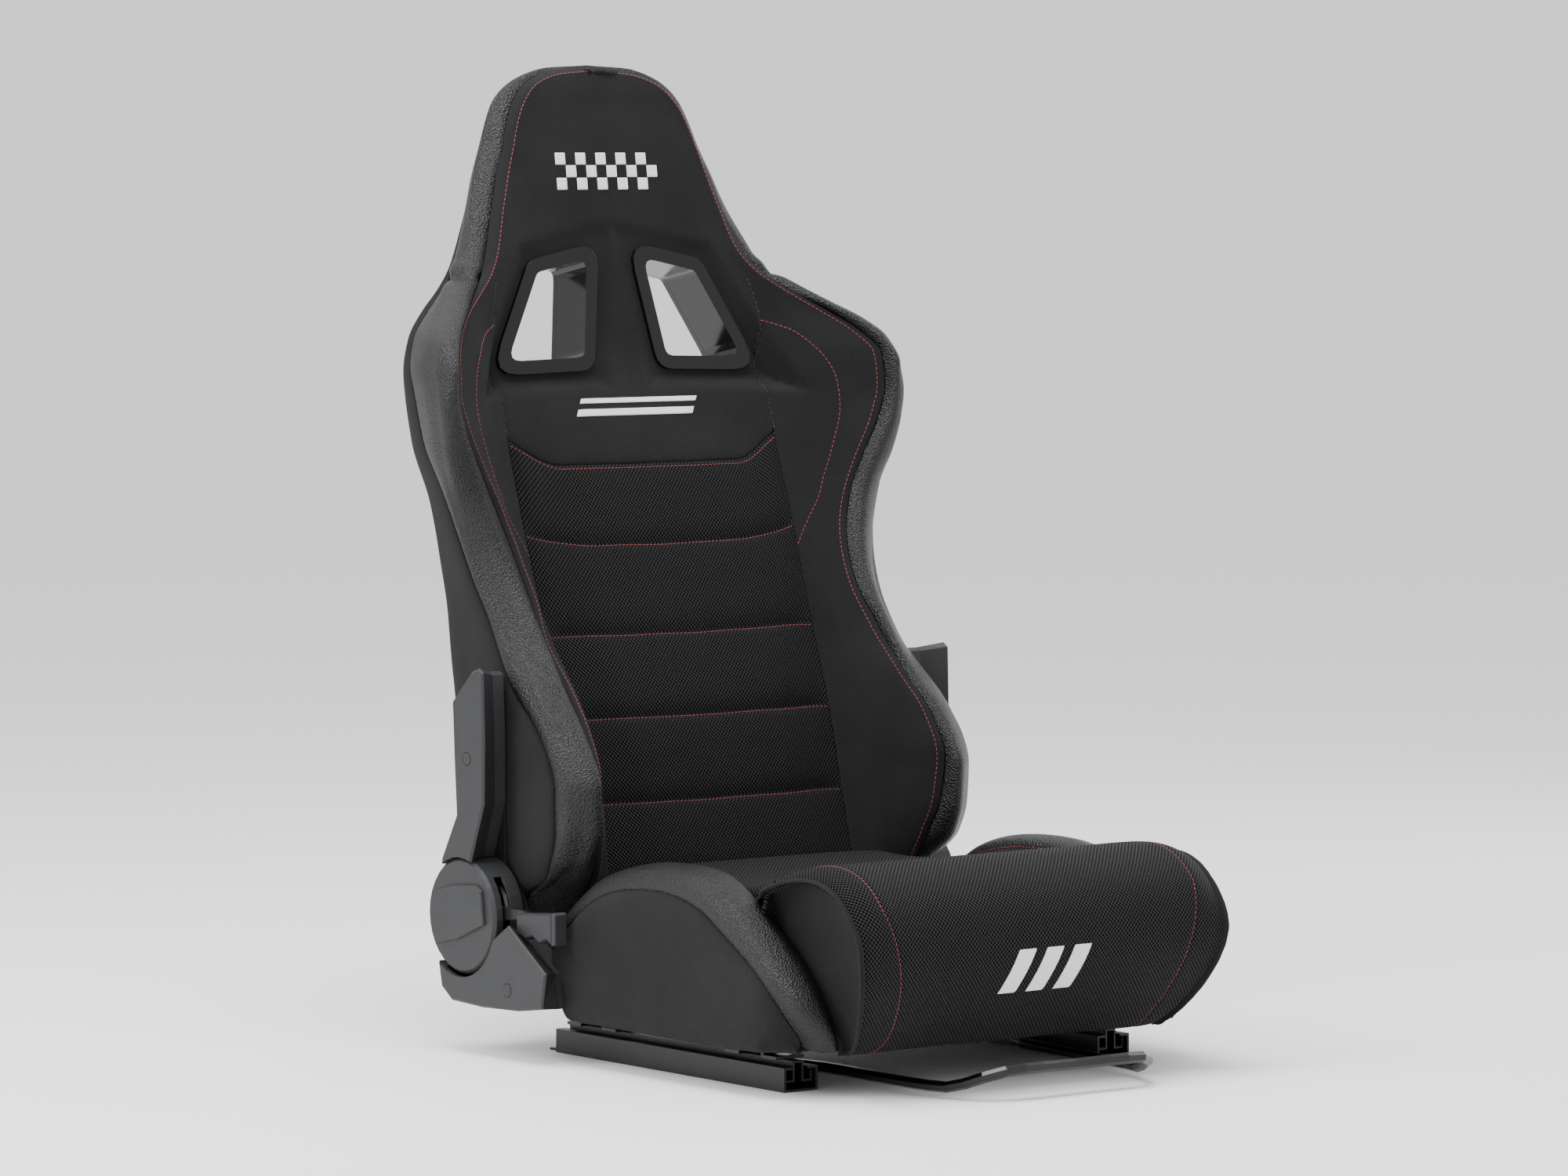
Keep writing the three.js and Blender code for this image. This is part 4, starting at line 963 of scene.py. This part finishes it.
def thigh_panel(low, high, columns, depth, seed, gathers=0.2, swell=0.0, edges="lr"):
    """A panel of the thigh bolster, drawn in at its sewn edges."""
    s = np.linspace(low, high, columns)[None, :] + np.zeros((THIGH_ROWS, 1))
    s = np.minimum(s, T_UNDER - HAIR)
    grid = spline(thigh_sections(THIGH_ROWS)[::-1], s)
    out = normals(grid)
    left, right, along, _ = edge_distances(grid)
    height = 0.5 * wobble(grid, 60.0, seed)
    for key, distance in (("l", left), ("r", right)):
        if key in edges:
            gather = puckers(distance, along, grid, gathers, GATHER_REACH, seed)
            height = height + pillow(distance, depth, 4.5) + gather
    return grid + out * (height + crown(left, right, swell))[..., None]


SEAM_FOOT = (-318, 38)          # (y, z) where the roll's end seam reaches its foot
UNDER_THIGH = np.array([-1.0, 3.0, -7.0])
TUCK_TO = np.array([184.0, 30.0, -2.0])


def roll_end(rows, columns):
    """Fabric from the end seam of the roll's mesh to just inside the thigh bolster's inner seam."""
    foot = int(np.argmin(np.abs(roll_edge[:, 1:] - SEAM_FOOT).sum(axis=1)))
    share = np.linspace(0, 1, rows)
    seam, _ = walked_along(roll_edge[:foot + 1], share)
    inner, length = walked_along(open_line(THIGH_INNER[7:], 120) + UNDER_THIGH, share)
    u = np.linspace(0, 1, columns)[None, :, None]
    grid = seam[:, None] * (1 - u) + inner[:, None] * u
    swell = np.sin(math.pi * u[..., 0] ** 0.62) * np.sin(math.pi * share[:, None] ** 0.8).clip(0) ** 0.5
    near = arcs(grid, 1)
    height = 8.0 * swell + pillow(near, 2.2, 4.0) + 0.5 * wobble(grid, 45.0, 9.0)
    height = height + puckers(near, length * share[:, None] + 0 * near, grid, 0.3, GATHER_REACH, 12.0)
    grid = grid + normals(grid) * height[..., None]
    tuck = np.linspace(0, 1, 8)[:-1, None, None]
    behind = grid[:1] * np.array([0, 1, 1]) + TUCK_TO
    return np.concatenate([behind * (1 - tuck) + grid[:1] * tuck, grid])


for side, word in SIDES:
    flip = side < 0
    cover(f"cushion_roll_end_{word}", roll_end(110, 40)[::-1], "woven_fabric", CARRIAGE, mirror=flip)
    panel = thigh_panel(T_INNER, T_OUTER, 44, 2.2, 80.0 + side, gathers=0.35, swell=1.0)
    band = cover(f"thigh_leather_{word}", panel, "leather", CARRIAGE, mirror=flip)
    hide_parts(f"thigh_bolster_{word}")
    panel = thigh_panel(T_OUTER, T_UNDER, 50, 2.2, 85.0 + side, edges="l")
    cover(f"thigh_skirt_{word}", panel, "woven_fabric", CARRIAGE, mirror=flip)
    panel = thigh_panel(T_INNER_FOOT, T_INNER, 26, 2.0, 90.0 + side, edges="r")
    cover(f"thigh_inner_{word}", panel, "woven_fabric", CARRIAGE, mirror=flip)


# ---- stitches ----
all_vertices, all_faces = [], []
for vertices, faces in skins:
    base = len(all_vertices)
    all_vertices.extend(map(tuple, vertices))
    all_faces.extend(tuple(i + base for i in face) for face in faces)
SURFACE = BVHTree.FromPolygons(all_vertices, all_faces)

# Along a stitch: place and width as shares of half its length and radius, and its lift in radii.
THREAD_RINGS = ((-1.0, 0.25, -0.05), (-0.72, 0.85, 0.4), (0.0, 1.0, 0.6), (0.72, 0.85, 0.4),
                (1.0, 0.25, -0.05))
THREAD_SIDES = 6
STITCH_PITCH, STITCH_LENGTH, STITCH_RADIUS = 4.6, 3.4, 0.4


def stitch_line(name, path, body, slot="red_thread"):
    """A row of stitches that lies on the covers, along a path in millimetres."""
    path = np.asarray(path, float)
    walked = arcs(path[:, None], 0)[:, 0]
    count = max(2, int(walked[-1] / STITCH_PITCH))
    vertices, faces = [], []
    for i in range(count):
        middle = (i + 0.5) * walked[-1] / count
        ends = [np.array([np.interp(middle + d, walked, path[:, k]) for k in range(3)])
                for d in (-STITCH_LENGTH / 2, STITCH_LENGTH / 2)]
        here, normal, _, _ = SURFACE.find_nearest(Vector((ends[0] + ends[1]) / 2))
        run = Vector(ends[1] - ends[0])
        run -= normal * run.dot(normal)
        run.normalize()
        across = run.cross(normal)
        start = len(vertices)
        for reach, width, lift in THREAD_RINGS:
            centre = here + run * (reach * STITCH_LENGTH / 2) + normal * (STITCH_RADIUS * lift)
            for k in range(THREAD_SIDES):
                angle = 2 * math.pi * k / THREAD_SIDES
                spoke = math.cos(angle) * across + math.sin(angle) * normal
                vertices.append(centre + STITCH_RADIUS * width * spoke)
        rings = len(THREAD_RINGS)
        for r in range(rings - 1):
            for k in range(THREAD_SIDES):
                a, b = start + r * THREAD_SIDES + k, start + r * THREAD_SIDES + (k + 1) % THREAD_SIDES
                faces.append((a, b, b + THREAD_SIDES, a + THREAD_SIDES))
        faces.append(tuple(start + k for k in reversed(range(THREAD_SIDES))))
        faces.append(tuple(start + (rings - 1) * THREAD_SIDES + k for k in range(THREAD_SIDES)))
    return new_object(name, [tuple(v) for v in vertices], faces, slot, body)


def on_skin(keys, s):
    """The line through the skin's points at given height keys and section positions."""
    keys = np.asarray(keys, float)[:, None]
    return skin(keys, np.broadcast_to(np.asarray(s, float).reshape(-1, 1), keys.shape))[:, 0]


rise = on_skin(np.linspace(BOLSTER_FOOT + 6, TOP - 0.5, 260), np.full(260, S_STITCH))
over = np.concatenate([rise, (rise * MIRROR)[::-1]])
stitch_line("outer_stitching", over, BACK)

UNDER_CHANNEL, UNDER_V_SEAM = 2.0, 5.0      # the stitches run this far below their seams
s_across = np.linspace(-S_SEAM + 0.01, S_SEAM - 0.01, 90)
for i, seam in enumerate(CHANNELS):
    keys = seam(np.abs(s_across))[:, 0] - UNDER_CHANNEL
    stitch_line(f"channel_stitching_{i + 1}", on_skin(keys, s_across), BACK)
keys = V_SEAM(np.abs(s_across))[:, 0] - UNDER_V_SEAM
stitch_line("chest_seam_stitching", on_skin(keys, s_across), BACK)

# The curved seam on each wing, (x, y, z): out from the middle panel's edge and back to it lower down.
WING_ARC = [(157.2, 242.9, 671.5), (170, 231, 667), (183, 220, 660), (202, 204.5, 640), (211, 194, 620),
            (213, 189, 600), (211, 186, 580), (206, 187, 560), (199.5, 187, 540), (192.5, 188, 520),
            (185.5, 187, 500), (172, 187, 478), (158.4, 184.5, 455)]
for side, word in SIDES:
    across = np.array([side, 1, 1])
    stitch_line(f"wing_stitching_{word}", open_line(WING_ARC, 120) * across, BACK)
    seam = on_skin(np.linspace(566, NECK - 2, 60), np.full(60, S_SEAM))
    stitch_line(f"chest_side_stitching_{word}", seam * across, BACK, "black_thread")
    path = closed_outline(ROLL, OUTLINE_ROWS)[0]
    path = path[(path[:, 1] < -240) & ((path[:, 2] > 100) | (path[:, 1] < -330))]
    path[:, 0] = side * roll_stitch_x(path[:, 2])
    stitch_line(f"roll_stitching_{word}", path, CARRIAGE)
    thigh = thigh_sections(THIGH_ROWS)[:, 3] + np.array([2.0, 0, 0])
    stitch_line(f"thigh_stitching_{word}", (thigh * across)[40:146], CARRIAGE)


# ---- white embroidery: plain slanted bars and squares ----
IN_FRONT_Y = -900
PATCH_CELLS = (26, 12)
PATCH_HEIGHT, PATCH_RIM = 0.8, -0.4     # above the covers, and its edges below their surface


def patch_of_thread(name, corners, body):
    """Satin stitch that fills four-sided shapes; corners are (x, z), laid on the covers from in front."""
    vertices, faces, uvs = [], [], []
    across, along = PATCH_CELLS
    for quad in corners:
        quad = np.array(quad, float)
        start = len(vertices)
        for j in range(along + 1):
            for i in range(across + 1):
                u, v = i / across, j / along
                low = quad[0] * (1 - u) + quad[1] * u
                high = quad[3] * (1 - u) + quad[2] * u
                x, z = low * (1 - v) + high * v
                hit, normal, _, _ = SURFACE.ray_cast(Vector((x, IN_FRONT_Y, z)), Vector((0, 1, 0)))
                rim = min(u, 1 - u, v, 1 - v) == 0
                vertices.append(tuple(hit + normal * (PATCH_RIM if rim else PATCH_HEIGHT)))
                uvs.append((x * MM, z * MM))
        for j in range(along):
            for i in range(across):
                a = start + j * (across + 1) + i
                faces.append((a, a + 1, a + across + 2, a + across + 1))
    return new_object(name, vertices, faces, "white_thread", body, uvs)


def slanted(x0, x1, z0, z1, lean):
    return [(x0, z0), (x1, z0), (x1 + lean, z1), (x0 + lean, z1)]


SQUARE, SQUARES_FOOT_Z, SQUARES_HALF = 12, 798, 60
squares = []
for r in range(3):
    z = SQUARES_FOOT_Z + r * SQUARE
    for x in range(-SQUARES_HALF + SQUARE * (r % 2), SQUARES_HALF, 2 * SQUARE):
        squares.append(slanted(x, x + SQUARE, z, z + SQUARE, 0))
patch_of_thread("headrest_squares", squares, BACK)
chest_bars = [slanted(-75, 66, 583, 590, 4), slanted(-68, 73, 595, 600, 3)]
patch_of_thread("chest_bars", chest_bars, BACK)
roll_bars = [slanted(x, x + 20, 87, 129, 17) for x in (-50, -18, 14)]
patch_of_thread("roll_bars", roll_bars, CARRIAGE)


# ---- light and floor ----
HORIZON, OVERHEAD = 1.14, 1.22          # brightness of the studio's walls and ceiling
WALL_TOP, CEILING_FROM = 0.12, 0.55     # how high in the sky the one turns into the other

world = bpy.data.worlds.new("studio")
world.use_nodes = True
sky = world.node_tree
split = sky.nodes.new("ShaderNodeSeparateXYZ")
sky.links.new(sky.nodes.new("ShaderNodeTexCoord").outputs["Generated"], split.inputs[0])
blend = sky.nodes.new("ShaderNodeMapRange")
blend.interpolation_type = "SMOOTHSTEP"
sky.links.new(split.outputs["Z"], blend.inputs["Value"])
for socket, number in (("From Min", WALL_TOP), ("From Max", CEILING_FROM),
                       ("To Min", HORIZON), ("To Max", OVERHEAD)):
    blend.inputs[socket].default_value = number
sky.nodes["Background"].inputs["Color"].default_value = (1, 1, 1, 1)
sky.links.new(blend.outputs[0], sky.nodes["Background"].inputs["Strength"])
bpy.context.scene.world = world

LIT_POINT = Vector((0, 0, 0.45))        # the softboxes face the middle of the seat


def softbox(name, place, size, power):
    data = bpy.data.lights.new(name, "AREA")
    data.shape = "RECTANGLE"
    data.size, data.size_y = size
    data.energy = power
    lamp = bpy.data.objects.new(name, data)
    bpy.context.scene.collection.objects.link(lamp)
    lamp.location = place
    lamp.rotation_euler = (LIT_POINT - lamp.location).to_track_quat("-Z", "Y").to_euler()


softbox("left_box", (-2.4, 0.2, 2.0), (1.0, 1.6), 62)
softbox("top_box", (-0.5, -0.1, 3.0), (2.0, 1.4), 100)
softbox("right_box", (2.4, 0.4, 1.4), (0.8, 1.8), 16)

FLOOR_REACH = 30.0
corners = [(x * FLOOR_REACH, y * FLOOR_REACH, 0) for x, y in ((-1, -1), (1, -1), (1, 1), (-1, 1))]
floor_mesh = bpy.data.meshes.new("floor")
floor_mesh.from_pydata(corners, [], [(0, 1, 2, 3)])
floor = bpy.data.objects.new("floor", floor_mesh)
bpy.context.scene.collection.objects.link(floor)
floor_paint = Nodes("floor_paint", (0.94, 0.94, 0.94), 0.8)
floor_mesh.materials.append(floor_paint.material)
